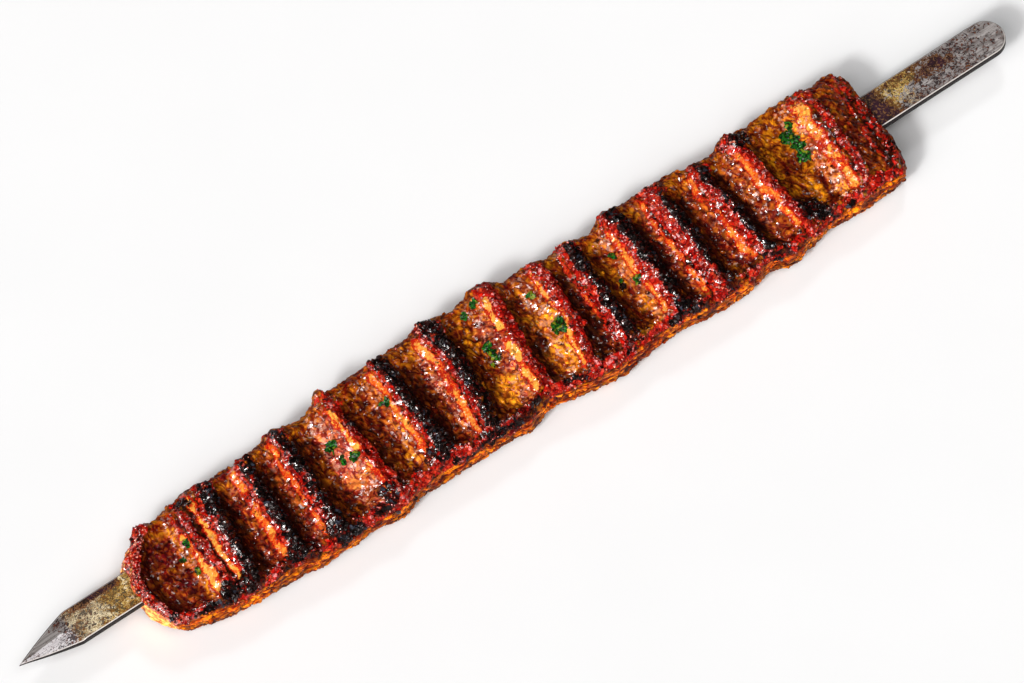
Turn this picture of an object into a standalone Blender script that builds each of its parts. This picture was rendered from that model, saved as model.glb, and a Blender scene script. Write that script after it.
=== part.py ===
"""Kofta skewer: spiced minced meat pressed by hand along a flat steel skewer.

Two solids. The skewer is a flat bar with a ground spear point at -X and a full
round end at +X. The meat is one body pressed round the bar: a low loaf with a
flat underside, whose top is a row of finger dents with narrow crests between
them. The bar runs through it in a slot with a small gap all round.

Frame: metres, +Z up, the skewer along X with its point at -X. The origin is at
the bottom centre of the bounding box, on the surface that the meat lies on.
"""

import math

import bmesh
import bpy

MM = 0.001

# ---------------------------------------------------------------- steel bar
BAR_LENGTH = 400.0      # point to round end
BAR_WIDTH = 13.5        # at the round end
BAR_WIDTH_POINT = 12.9  # at the shoulders of the point
BAR_THICK = 3.0
BAR_EDGE = 0.55         # rounding of the long edges
BAR_EDGE_STEPS = 3
BAR_LEVEL = 11.5        # height of the bar's middle plane over the floor
BAR_SIDE = 2.8          # the bar lies this far to +Y of the meat's middle
POINT_LENGTH = 21.5     # taper from full width to the tip
POINT_BULGE = 0.35      # how far the ground edges bow outward
POINT_SIDE = -0.45      # the tip lies this far off the bar's middle
POINT_RIDGE = 22.5      # where the ridge between the two bevels meets the top
POINT_TIP_HEIGHT = 0.85  # tip's upper edge, over the bar's underside
ROUND_STEPS = 22        # segments in the round end
SLOT_GAP = 0.35         # between bar and meat, all round

# --------------------------------------------------------------------- meat
MEAT_LEFT = -152.2      # end face nearest the point, at the middle
MEAT_RIGHT = 145.4      # end face nearest the round end
MIDDLE_LEVEL = 10.0     # height where the loaf is widest
TOP_POWER = 3.5         # squareness of the upper half of the section
LOW_POWER = 3.6         # squareness of the lower half
FLAT_PRESS = 1.07       # how far the underside is pressed flat
AROUND = 36             # points round a section
STATION = 3.0           # wanted spacing of sections between crests
LIP_FADE = 0.30         # how much of a dent's depth is left at the -Y lip
BACK_FADE = 0.55        # and at the +Y edge

# One row per crest, from the point's end to the round end: place along X,
# height, skew (X per unit of -Y), bow (X of the middle against the edges),
# reach to +Y and to -Y; then, for the dent that follows, its depth and the
# reach to +Y and to -Y at its middle.
CRESTS = (
    (-150.6, 18.4, -0.15, -5.8, 19.3, 18.3, 4.3, 19.0, 19.9),
    (-128.4, 19.9, -0.08, 0.0, 19.6, 21.6, 1.4, 21.6, 22.3),
    (-118.3, 20.6, -0.17, 0.0, 20.4, 23.0, 4.7, 20.4, 23.2),
    (-102.5, 20.6, -0.13, -0.6, 20.3, 23.3, 4.3, 20.7, 24.2),
    (-86.4, 20.6, -0.08, 0.0, 22.4, 24.7, 4.8, 21.2, 23.8),
    (-65.6, 20.5, -0.02, 0.0, 23.7, 25.1, 4.3, 24.1, 22.8),
    (-42.9, 20.6, -0.04, 0.6, 24.2, 23.1, 4.7, 24.5, 23.2),
    (-22.0, 20.7, -0.12, 1.8, 25.4, 23.6, 4.6, 24.6, 24.2),
    (-0.7, 20.4, -0.13, 0.0, 26.2, 21.1, 3.9, 23.5, 22.8),
    (19.8, 20.3, -0.15, 3.0, 23.0, 24.4, 2.7, 21.8, 25.2),
    (32.5, 20.5, -0.08, 0.3, 22.5, 24.3, 4.4, 21.3, 23.4),
    (51.3, 20.6, -0.04, 0.3, 24.6, 23.6, 4.0, 23.3, 25.0),
    (68.0, 20.5, -0.06, 0.0, 23.1, 25.2, 4.3, 23.4, 25.0),
    (85.6, 20.4, 0.02, 0.0, 20.6, 23.3, 4.2, 20.8, 25.4),
    (101.0, 20.2, 0.05, 0.0, 22.8, 23.0, 4.6, 23.5, 21.7),
    (127.7, 20.3, -0.06, 0.4, 22.9, 22.4, -0.6, 22.2, 22.1),
    (142.6, 15.8, -0.07, 0.5, 22.6, 22.0, 0.0, 0.0, 0.0),
)

# End rounding: distance in from the end face, and how far the section is drawn in there.
END_ROUND = ((0.0, 3.0), (0.3, 1.8), (1.0, 0.8), (2.0, 0.25))


def smooth(a, b, t):
    t = min(1.0, max(0.0, (t - a) / (b - a)))
    return t * t * (3 - 2 * t)


def mix(a, b, t):
    return a + (b - a) * t


def stations():
    """(crest index, fraction to the next crest) of each section."""
    found = []
    for i in range(len(CRESTS) - 1):
        width = CRESTS[i + 1][0] - CRESTS[i][0]
        steps = max(4, round(width / STATION))
        for j in range(steps):
            even = j / steps
            eased = (1 - math.cos(math.pi * even)) / 2
            found.append((i, mix(even, eased, 0.35)))
    found.append((len(CRESTS) - 2, 1.0))
    return found


def section_angles():
    """Angles that put AROUND points evenly along a middling section's outline."""
    fine = 4000
    points = []
    for k in range(fine + 1):
        angle = -math.pi / 2 + 2 * math.pi * k / fine
        points.append(outline(angle, 22.0, 22.0))
    run = [0.0]
    for (ya, ua), (yb, ub) in zip(points, points[1:]):
        run.append(run[-1] + math.hypot(yb - ya, level(ub, 19.0) - level(ua, 19.0)))
    angles = []
    k = 0
    for j in range(AROUND):
        goal = run[-1] * j / AROUND
        while run[k + 1] < goal:
            k += 1
        part = (goal - run[k]) / max(1e-9, run[k + 1] - run[k])
        angles.append(-math.pi / 2 + 2 * math.pi * (k + part) / fine)
    return angles


def outline(angle, reach_back, reach_front):
    """(Y, signed lift) of the section at an angle; lift is -1 at the underside and 1 at the top."""
    c, s = math.cos(angle), math.sin(angle)
    power = TOP_POWER if s > 0 else LOW_POWER
    reach = -reach_front if c > 0 else reach_back
    y = reach * abs(c) ** (2 / power)
    lift = math.copysign(abs(s) ** (2 / power), s)
    return y, lift


def level(lift, top):
    if lift >= 0:
        return MIDDLE_LEVEL + (top - MIDDLE_LEVEL) * lift
    return max(0.0, MIDDLE_LEVEL * (1 + FLAT_PRESS * lift))


def dent(f):
    """Depth profile of a dent from one crest (0) to the next (1)."""
    return max(0.0, math.sin(math.pi * f)) ** 1.25


def reach(start, middle, end, f):
    """A side's reach between two crests, through its value at the dent's middle."""
    return mix(start, middle, smooth(0, 0.5, f)) if f < 0.5 else mix(middle, end, smooth(0.5, 1, f))


def top_height(i, f, y, reach_back, reach_front):
    h0, depth = CRESTS[i][1], CRESTS[i][6]
    h1 = CRESTS[i + 1][1]
    across = y / (reach_back if y > 0 else reach_front)
    fade = 1 - (1 - LIP_FADE) * smooth(0.68, 0.93, -across) - (1 - BACK_FADE) * smooth(0.5, 0.95, across)
    return mix(h0, h1, f) - depth * dent(f) * fade


def section(i, f, angles):
    """One ring of points of the meat, following the crests' skew and bow."""
    a, b = CRESTS[i], CRESTS[i + 1]
    x = mix(a[0], b[0], f)
    ease = smooth(0, 1, f)
    skew, bow = mix(a[2], b[2], f), mix(a[3], b[3], ease)
    back, front = reach(a[4], a[7], b[4], f), reach(a[5], a[8], b[5], f)
    ring = []
    for angle in angles:
        y, lift = outline(angle, back, front)
        top = top_height(i, f, y, back, front)
        z = level(lift, top)
        across = y / (back if y > 0 else front)
        follow = smooth(-0.9, 0.4, lift)
        shift = (skew * -y - bow * across * across) * mix(0.45, 1.0, follow)
        ring.append((x + shift, y, z))
    return ring


def end_rings(ring, face_x, inward):
    """Rings that round the body over into its end face. inward is +1 at the -X end."""
    middle = min(ring, key=lambda point: abs(point[1]) + abs(point[2] - MIDDLE_LEVEL))[0]
    made = []
    for distance, draw in END_ROUND:
        turned = []
        for x, y, z in ring:
            scale_y, scale_z = 1 - draw / 20.0, 1 - 0.8 * draw / MIDDLE_LEVEL
            plane = face_x + (x - middle) * scale_y ** 2 + inward * distance
            turned.append((plane, y * scale_y, MIDDLE_LEVEL + (z - MIDDLE_LEVEL) * scale_z))
        made.append(turned)
    return made


def slot_ring(x, angles):
    """The slot's rectangle with as many points as a section, its corners exact."""
    half_w, half_t = BAR_WIDTH / 2 + SLOT_GAP, BAR_THICK / 2 + SLOT_GAP
    points = []
    for angle in angles:
        c, s = math.cos(angle), math.sin(angle)
        big = max(abs(c), abs(s))
        points.append([x, -c / big * half_w, s / big * half_t])
    for cy in (-half_w, half_w):
        for cz in (-half_t, half_t):
            near = min(points, key=lambda p: abs(p[1] - cy) / half_w + abs(p[2] - cz) / half_t)
            near[1], near[2] = cy, cz
    return [(px, py + BAR_SIDE, pz + BAR_LEVEL) for px, py, pz in points]


def meat_rings():
    angles = section_angles()
    body = [section(i, f, angles) for i, f in stations()]
    left = end_rings(body[0], MEAT_LEFT, 1)
    right = end_rings(body[-1], MEAT_RIGHT, -1)
    slot_left = slot_ring(MEAT_LEFT + 0.3, angles)
    slot_right = slot_ring(MEAT_RIGHT - 0.3, angles)
    half_left = [tuple(mix(p, q, 0.5) for p, q in zip(a, b)) for a, b in zip(slot_left, left[0])]
    half_right = [tuple(mix(p, q, 0.5) for p, q in zip(a, b)) for a, b in zip(slot_right, right[0])]
    return [slot_left, half_left] + left + body + right[::-1] + [half_right, slot_right]


def bar_outline():
    """Plan outline of the bar, anticlockwise from the tip."""
    half = BAR_LENGTH / 2
    r = BAR_WIDTH / 2
    narrow = BAR_WIDTH_POINT / 2
    shoulder = -half + POINT_LENGTH
    midway = (-half + 0.5 * POINT_LENGTH, 0.5 * narrow + POINT_BULGE)
    points = [(-half, POINT_SIDE), (midway[0], POINT_SIDE / 2 - midway[1]), (shoulder, -narrow)]
    for j in range(ROUND_STEPS + 1):
        turn = -math.pi / 2 + math.pi * j / ROUND_STEPS
        points.append((half - r + r * math.cos(turn), r * math.sin(turn)))
    points.append((shoulder, narrow))
    points.append((midway[0], POINT_SIDE / 2 + midway[1]))
    return points


def inset(points, distance):
    """The outline moved inward by a distance, mitred at its corners."""
    made = []
    count = len(points)
    for k, (x, y) in enumerate(points):
        px, py = points[k - 1]
        nx, ny = points[(k + 1) % count]
        ax, ay = x - px, y - py
        bx, by = nx - x, ny - y
        la, lb = math.hypot(ax, ay), math.hypot(bx, by)
        ax, ay, bx, by = ax / la, ay / la, bx / lb, by / lb
        mx, my = -(ay + by), ax + bx
        size = math.hypot(mx, my)
        mx, my = mx / size, my / size
        lean = max(0.35, mx * -ay + my * ax)
        made.append((x + mx * distance / lean, y + my * distance / lean))
    return made


def bar_rings():
    """Rings from the bar's underside up to its top, with rounded edges."""
    outer = bar_outline()
    half_t = BAR_THICK / 2
    rings = []
    turns = [math.pi / 2 * j / BAR_EDGE_STEPS for j in range(BAR_EDGE_STEPS + 1)]
    for turn in turns:
        plan = inset(outer, BAR_EDGE * (1 - math.sin(turn)))
        z = -half_t + BAR_EDGE * (1 - math.cos(turn))
        rings.append([(x, y, z) for x, y in plan])
    # On top, each ring's tip and midway points climb the two ground bevels, from
    # the tip's upper edge to the place where their ridge runs out on the flat.
    half = BAR_LENGTH / 2
    tip = (-half, POINT_SIDE, -half_t + POINT_TIP_HEIGHT)
    ridge = (-half + POINT_RIDGE, 0.0, half_t)
    for step, turn in enumerate(reversed(turns)):
        plan = inset(outer, BAR_EDGE * (1 - math.sin(turn)))
        z = half_t - BAR_EDGE * (1 - math.cos(turn))
        ring = [(x, y, z) for x, y in plan]
        climb = step / BAR_EDGE_STEPS
        ring[0] = tuple(mix(p, q, climb) for p, q in zip(tip, ridge))
        for at, shoulder in ((1, 2), (-1, -2)):
            x, y = outer[at]
            low = (x, y, mix(tip[2], half_t - BAR_EDGE, 0.5))
            high = [mix(p, q, 0.5) for p, q in zip(ridge, (*outer[shoulder], half_t))]
            ring[at] = tuple(mix(p, q, climb) for p, q in zip(low, high))
        rings.append(ring)
    return [[(x, y + BAR_SIDE, z + BAR_LEVEL) for x, y, z in ring] for ring in rings]


def mesh_of(name, rings, tunnel, shift_y, material):
    """A solid from rings: closed into a tunnel, or capped at both ends."""
    bm = bmesh.new()
    made = [[bm.verts.new((x * MM, (y + shift_y) * MM, z * MM)) for x, y, z in ring] for ring in rings]
    pairs = list(zip(made, made[1:]))
    if tunnel:
        pairs.append((made[-1], made[0]))
    else:
        bm.faces.new(made[0])
        bm.faces.new(made[-1])
    for low, high in pairs:
        count = len(low)
        for k in range(count):
            n = (k + 1) % count
            bm.faces.new((low[k], low[n], high[n], high[k]))
    bmesh.ops.recalc_face_normals(bm, faces=bm.faces)
    bmesh.ops.triangulate(bm, faces=bm.faces, quad_method="SHORT_EDGE", ngon_method="EAR_CLIP")
    mesh = bpy.data.meshes.new(name)
    bm.to_mesh(mesh)
    bm.free()
    mesh.materials.append(material)
    mesh.shade_smooth()
    mesh.set_sharp_from_angle(angle=math.radians(35))
    obj = bpy.data.objects.new(name, mesh)
    bpy.context.scene.collection.objects.link(obj)
    return obj


def material(name, colour, roughness, metallic, coat=0.0):
    made = bpy.data.materials.new(name)
    made.use_nodes = True
    made.diffuse_color = (*colour, 1)
    shader = made.node_tree.nodes["Principled BSDF"]
    shader.inputs["Base Color"].default_value = (*colour, 1)
    shader.inputs["Roughness"].default_value = roughness
    shader.inputs["Metallic"].default_value = metallic
    shader.inputs["Coat Weight"].default_value = coat
    return made


def main():
    for obj in list(bpy.data.objects):
        bpy.data.objects.remove(obj, do_unlink=True)

    meat = meat_rings()
    sides = [point[1] for ring in meat for point in ring]
    centre = -(min(sides) + max(sides)) / 2

    mesh_of("kofta_meat", meat, True, centre, material("grilled_mince", (0.36, 0.10, 0.04), 0.35, 0.0, 0.5))
    mesh_of("skewer_blade", bar_rings(), False, centre, material("skewer_steel", (0.52, 0.49, 0.45), 0.35, 1.0))


main()
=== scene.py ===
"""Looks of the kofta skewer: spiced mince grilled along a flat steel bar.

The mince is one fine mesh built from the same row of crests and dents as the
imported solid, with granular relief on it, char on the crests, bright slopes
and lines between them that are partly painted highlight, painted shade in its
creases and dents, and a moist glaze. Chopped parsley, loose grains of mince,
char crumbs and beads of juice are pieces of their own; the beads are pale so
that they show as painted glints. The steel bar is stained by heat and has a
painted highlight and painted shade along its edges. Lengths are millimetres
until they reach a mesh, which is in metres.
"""

import math

import bmesh
import bpy
import numpy as np
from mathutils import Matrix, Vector

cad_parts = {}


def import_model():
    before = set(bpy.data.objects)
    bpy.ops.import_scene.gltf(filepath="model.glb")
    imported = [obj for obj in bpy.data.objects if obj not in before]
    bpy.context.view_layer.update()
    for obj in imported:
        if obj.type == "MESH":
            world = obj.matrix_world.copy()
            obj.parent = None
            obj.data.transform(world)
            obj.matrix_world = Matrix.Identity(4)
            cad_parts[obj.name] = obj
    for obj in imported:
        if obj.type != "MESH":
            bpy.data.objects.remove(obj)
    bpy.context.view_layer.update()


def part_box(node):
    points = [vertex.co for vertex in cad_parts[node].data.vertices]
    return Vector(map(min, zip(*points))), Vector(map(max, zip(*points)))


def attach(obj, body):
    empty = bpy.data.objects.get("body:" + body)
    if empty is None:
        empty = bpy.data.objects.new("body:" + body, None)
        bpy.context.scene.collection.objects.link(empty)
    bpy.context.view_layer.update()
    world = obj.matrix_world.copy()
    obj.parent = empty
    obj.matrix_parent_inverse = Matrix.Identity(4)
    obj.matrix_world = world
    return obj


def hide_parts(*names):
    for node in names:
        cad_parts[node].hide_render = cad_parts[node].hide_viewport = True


MM = 0.001

# ------------------------------------------------------------ the frame's sizes
BAR_LENGTH = 400.0
BAR_WIDTH = 13.5
BAR_WIDTH_POINT = 12.9
BAR_THICK = 3.0
BAR_EDGE = 0.55
BAR_LEVEL = 11.5
BAR_SIDE = 2.8
POINT_LENGTH = 21.5
POINT_BULGE = 0.35
POINT_SIDE = -0.45
POINT_RIDGE = 22.5
POINT_TIP_HEIGHT = 0.85

MEAT_LEFT = -152.2
MEAT_RIGHT = 145.4
END_LEAN = 2.8
MIDDLE_LEVEL = 10.0
TOP_POWER = 3.5
LOW_POWER = 3.6
FLAT_PRESS = 1.07
LIP_FADE = 0.30
BACK_FADE = 0.55

# One row per crest, from the point's end: place along X, height, skew, bow,
# reach to +Y and to -Y, then the following dent's depth and its reaches.
CRESTS = np.array((
    (-150.6, 18.4, -0.15, -5.8, 19.3, 18.3, 4.3, 19.0, 19.9),
    (-128.4, 19.9, -0.08, 0.0, 19.6, 21.6, 1.4, 21.6, 22.3),
    (-118.3, 20.6, -0.17, 0.0, 20.4, 23.0, 4.7, 20.4, 23.2),
    (-102.5, 20.6, -0.13, -0.6, 20.3, 23.3, 4.3, 20.7, 24.2),
    (-86.4, 20.6, -0.08, 0.0, 22.4, 24.7, 4.8, 21.2, 23.8),
    (-65.6, 20.5, -0.02, 0.0, 23.7, 25.1, 4.3, 24.1, 22.8),
    (-42.9, 20.6, -0.04, 0.6, 24.2, 23.1, 4.7, 24.5, 23.2),
    (-22.0, 20.7, -0.12, 1.8, 25.4, 23.6, 4.6, 24.6, 24.2),
    (-0.7, 20.4, -0.13, 0.0, 26.2, 21.1, 3.9, 23.5, 22.8),
    (19.8, 20.3, -0.15, 3.0, 23.0, 24.4, 2.7, 21.8, 25.2),
    (32.5, 20.5, -0.08, 0.3, 22.5, 24.3, 4.4, 21.3, 23.4),
    (51.3, 20.6, -0.04, 0.3, 24.6, 23.6, 4.0, 23.3, 25.0),
    (68.0, 20.5, -0.06, 0.0, 23.1, 25.2, 4.3, 23.4, 25.0),
    (85.6, 20.4, 0.02, 0.0, 20.6, 23.3, 4.2, 20.8, 25.4),
    (101.0, 20.2, 0.05, 0.0, 22.8, 23.0, 4.6, 23.5, 21.7),
    (127.7, 20.3, -0.06, 0.4, 22.9, 22.4, -0.6, 22.2, 22.1),
    (142.6, 15.8, -0.07, 0.5, 22.6, 22.0, 0.0, 0.0, 0.0),
))

# How each crest has grilled, in the same order. Places are millimetres from the
# crest along X, negative towards the point. char: how black its top is, and from
# where to where. red: the crimson fringe, likewise. line: the bright line along
# its -X shoulder, its place, half width and how yellow it is; it is partly crust
# and partly a painted highlight where the shoulder faces the key lamp. slope: how
# bright the -X slope is, where it starts and how pink it is; this brightness too
# is partly a painted highlight. tone: the valley after the crest, from dark to
# amber.
LOOKS = np.array((
    # char from  to   red  from  to   line  at  half yellow slope start pink tone
    (0.22, -1.2, 1.8, 1.00, -4.0, 1.4, 0.00, -4.0, 1.0, 0.30, 0.00, -6.0, 0.3, 0.25),
    (0.00, 0.0, 0.1, 0.90, -0.8, 1.8, 1.00, -3.4, 2.2, 0.90, 0.75, -8.2, 0.0, 0.10),
    (0.95, -2.6, 2.8, 0.85, -4.0, -0.6, 1.00, -5.7, 1.5, -0.20, 0.15, -8.0, 0.6, 0.05),
    (0.95, -1.8, 3.2, 0.90, -3.0, 0.6, 1.00, -4.4, 1.4, 0.25, 0.40, -9.5, 0.6, 0.00),
    (0.95, -1.8, 2.6, 0.90, -2.9, 0.4, 0.85, -4.3, 1.3, 0.15, 0.40, -8.8, 0.9, 0.25),
    (0.05, 1.0, 2.0, 0.95, 0.4, 3.6, 1.00, -1.2, 2.0, 1.00, 0.85, -11.0, 0.85, 0.35),
    (1.00, -2.0, 3.8, 0.90, -3.4, 0.4, 1.00, -5.2, 1.4, 0.32, 0.60, -11.0, 0.4, 0.15),
    (0.95, -2.4, 3.4, 0.90, -3.7, 0.0, 1.00, -5.9, 2.0, 0.50, 0.70, -10.8, 0.8, 0.48),
    (0.05, 0.0, 0.1, 1.00, -0.9, 2.8, 1.00, -2.8, 2.3, 1.00, 0.75, -10.0, 0.7, 0.25),
    (0.00, 0.0, 0.1, 0.95, -1.8, 1.8, 0.95, -3.4, 1.6, 0.80, 0.95, -11.8, 0.05, 0.00),
    (1.00, -1.9, 3.0, 0.95, -3.9, -0.4, 0.60, -5.0, 0.9, 0.20, 0.15, -7.0, 0.5, 0.45),
    (1.00, -1.3, 4.0, 1.00, -3.2, 0.4, 0.85, -4.4, 1.4, 0.55, 0.62, -10.0, 0.4, 0.05),
    (0.90, -1.2, 3.6, 1.00, -5.0, 0.6, 0.85, -6.6, 1.2, 0.25, 0.45, -10.0, 0.5, 0.25),
    (0.90, -1.0, 2.8, 0.95, -3.4, 0.6, 0.90, -5.0, 1.5, 0.30, 0.35, -10.5, 0.3, 0.15),
    (0.10, 1.0, 3.0, 1.00, -0.9, 2.4, 0.90, -2.1, 1.4, 0.30, 0.50, -9.8, 0.3, 0.60),
    (0.00, 0.0, 0.1, 0.75, 0.9, 4.2, 1.00, -2.6, 3.6, 0.72, 1.00, -9.8, 0.30, 0.34),
    (0.00, 0.0, 0.1, 0.42, -1.6, 1.4, 0.55, -3.4, 1.4, 0.35, 0.20, -8.0, 0.4, 0.22),
))
CHAR, CHAR_A, CHAR_B, RED, RED_A, RED_B, LINE, LINE_AT, LINE_HALF, YELLOW, SLOPE, SLOPE_A, PINK, TONE = range(14)

# Separate char patches on the top: x, y, radius, strength.
CHAR_PATCHES = (
    (-131.0, -19.0, 3.6, 0.9), (-123.5, -19.5, 3.6, 0.95), (-104.5, -20.0, 3.8, 0.95),
    (-89.0, -21.0, 4.2, 0.95), (-68.5, -20.0, 3.4, 0.7), (-63.0, 7.0, 2.2, 0.8),
    (-49.0, -17.5, 3.0, 0.6), (-25.0, -20.0, 3.0, 0.7), (107.5, -17.0, 5.2, 1.0),
    (103.0, 18.0, 4.0, 0.75), (-151.0, -15.0, 2.4, 0.6), (-145.5, 17.0, 3.0, 0.5),
    (-125.0, 16.0, 3.2, 0.7), (40.0, -3.0, 1.4, 0.5), (-3.5, -17.0, 2.4, 0.4),
)
# Warm orange patches: x, y, radius, strength.
GLOW_PATCHES = (
    (-11.0, -11.0, 5.0, 0.8), (-14.0, -15.0, 4.0, 0.7), (10.0, -12.0, 6.0, 0.55),
    (12.0, 2.0, 5.0, 0.6), (44.0, -12.0, 3.5, 0.6), (-4.0, 21.0, 5.0, 0.7),
    (-62.0, 22.0, 3.0, 0.5),
)

GLOSS_TOWARD = (-0.519, -0.385, 0.764)
# Knobs that stand out of the edges: x, y, radius, height.
KNOBS = ((-140.6, 17.6, 3.2, 1.6), (-64.4, 22.4, 2.6, 2.3), (-100.0, -24.4, 2.4, 1.3), (-21.0, 24.0, 2.6, 1.0), (-1.0, 25.0, 3.0, 0.9))

# ----------------------------------------------------------------- mesh density
AROUND = 168
ALONG = 520
ROLL_RINGS = 9
FACE_RINGS = 17


def srgb(r, g, b):
    """Linear colour of an sRGB colour given as 0 to 255."""
    c = np.array((r, g, b)) / 255.0
    return np.where(c <= 0.04045, c / 12.92, ((c + 0.055) / 1.055) ** 2.4)


VALLEY_DARK = srgb(58, 14, 4)
VALLEY_BROWN = srgb(104, 38, 7)
VALLEY_AMBER = srgb(164, 94, 12)
DISH_RED = srgb(104, 26, 12)
SLOPE_PINK = srgb(205, 98, 72)
SLOPE_YELLOW = srgb(232, 142, 32)
SLOPE_BROWN = srgb(140, 54, 18)
SIDE_AMBER = srgb(186, 98, 10)
SIDE_BROWN = srgb(128, 38, 6)
LIP_RED = srgb(150, 48, 34)
END_BROWN = srgb(120, 44, 20)
END_YELLOW = srgb(255, 200, 116)
UNDER_BROWN = srgb(104, 44, 14)
SIDE_ORANGE = srgb(236, 118, 14)
SIDE_DARK = srgb(70, 26, 6)
END_ORANGE = srgb(250, 122, 60)


# ------------------------------------------------------------------ small maths
def smooth(a, b, t):
    t = np.clip((t - a) / (b - a), 0.0, 1.0)
    return t * t * (3 - 2 * t)


def mix(a, b, t):
    return a + (b - a) * t


def hump(t, half):
    """1 at 0, falling smoothly to 0 at +-half."""
    return smooth(half, 0.0, np.abs(t))


def lattice(ix, iy, iz, seed):
    """A repeatable number from 0 to 1 for each whole-number cell."""
    with np.errstate(over="ignore"):
        h = ix.astype(np.int64).astype(np.uint32) * np.uint32(0x8DA6B343)
        h ^= iy.astype(np.int64).astype(np.uint32) * np.uint32(0xD8163841)
        h ^= iz.astype(np.int64).astype(np.uint32) * np.uint32(0xCB1AB31F)
        h ^= np.uint32((seed * 0x9E3779B1) & 0xFFFFFFFF)
        h ^= h >> np.uint32(15)
        h *= np.uint32(0x2C1B3C6D)
        h ^= h >> np.uint32(12)
        h *= np.uint32(0x297A2D39)
        h ^= h >> np.uint32(15)
    return h.astype(np.float64) / 4294967296.0


def clouds(p, size, seed):
    """Smooth noise from -1 to 1 with features of this size, at points (..., 3)."""
    q = p / np.asarray(size, float)
    cell = np.floor(q)
    f = q - cell
    f = f * f * f * (f * (f * 6 - 15) + 10)
    total = 0.0
    for dx in (0, 1):
        wx = f[..., 0] if dx else 1 - f[..., 0]
        for dy in (0, 1):
            wy = f[..., 1] if dy else 1 - f[..., 1]
            for dz in (0, 1):
                wz = f[..., 2] if dz else 1 - f[..., 2]
                total = total + wx * wy * wz * lattice(cell[..., 0] + dx, cell[..., 1] + dy, cell[..., 2] + dz, seed)
    return total * 2 - 1


def grains(p, size, seed, loose=0.9):
    """Packed grains of this size: (height 0 to 1, rounded on top and creased between; each grain's own number)."""
    q = p / np.asarray(size, float)
    cell = np.floor(q)
    near = np.full(q.shape[:-1], 9.0)
    next_near = near.copy()
    own = np.zeros(q.shape[:-1])
    for dx in (-1, 0, 1):
        for dy in (-1, 0, 1):
            for dz in (-1, 0, 1):
                ix, iy, iz = cell[..., 0] + dx, cell[..., 1] + dy, cell[..., 2] + dz
                d2 = 0.0
                for axis, i in enumerate((ix, iy, iz)):
                    centre = i + 0.5 + loose * (lattice(ix, iy, iz, seed + 11 * axis) - 0.5)
                    d2 = d2 + (q[..., axis] - centre) ** 2
                d = np.sqrt(d2)
                closer = d < near
                next_near = np.where(closer, near, np.minimum(next_near, d))
                own = np.where(closer, lattice(ix, iy, iz, seed + 77), own)
                near = np.where(closer, d, near)
    dome = np.clip(1 - (near / 0.78) ** 2, 0, 1)
    crease = smooth(0.0, 0.22, next_near - near)
    return dome * (0.35 + 0.65 * crease), own, crease


# --------------------------------------------------------------- the mince body
def crest_place(u):
    i = np.clip(np.searchsorted(CRESTS[:, 0], u, side="right") - 1, 0, len(CRESTS) - 2)
    f = np.clip((u - CRESTS[i, 0]) / (CRESTS[i + 1, 0] - CRESTS[i, 0]), 0.0, 1.0)
    return i, f


def outline(angle, reach_back, reach_front):
    c, s = np.cos(angle), np.sin(angle)
    power = np.where(s > 0, TOP_POWER, LOW_POWER)
    reach = np.where(c > 0, -reach_front, reach_back)
    return reach * np.abs(c) ** (2 / power), np.sign(s) * np.abs(s) ** (2 / power)


def level(lift, top):
    above = MIDDLE_LEVEL + (top - MIDDLE_LEVEL) * lift
    below = np.maximum(0.0, MIDDLE_LEVEL * (1 + FLAT_PRESS * lift))
    return np.where(lift >= 0, above, below)


def section_angles():
    """Angles round a section, close together on what shows and wide apart underneath."""
    fine = 12000
    angle = -math.pi / 2 + 2 * math.pi * np.arange(fine + 1) / fine
    y, lift = outline(angle, 22.0, 22.0)
    z = level(lift, 19.0)
    middle = (lift[1:] + lift[:-1]) / 2
    weight = mix(0.24, 1.0, smooth(-0.97, -0.85, middle))
    run = np.concatenate([[0.0], np.cumsum(np.hypot(np.diff(y), np.diff(z)) * weight)])
    return np.interp(run[-1] * np.arange(AROUND) / AROUND, run, angle)


def reach(start, middle, end, f):
    return np.where(f < 0.5, mix(start, middle, smooth(0, 0.5, f)), mix(middle, end, smooth(0.5, 1, f)))


def dent(f):
    """Depth of a dent across its width: it drops fast after a crest and rises to the next one."""
    return np.maximum(0.0, np.sin(math.pi * f ** 0.88)) ** 1.12


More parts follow.
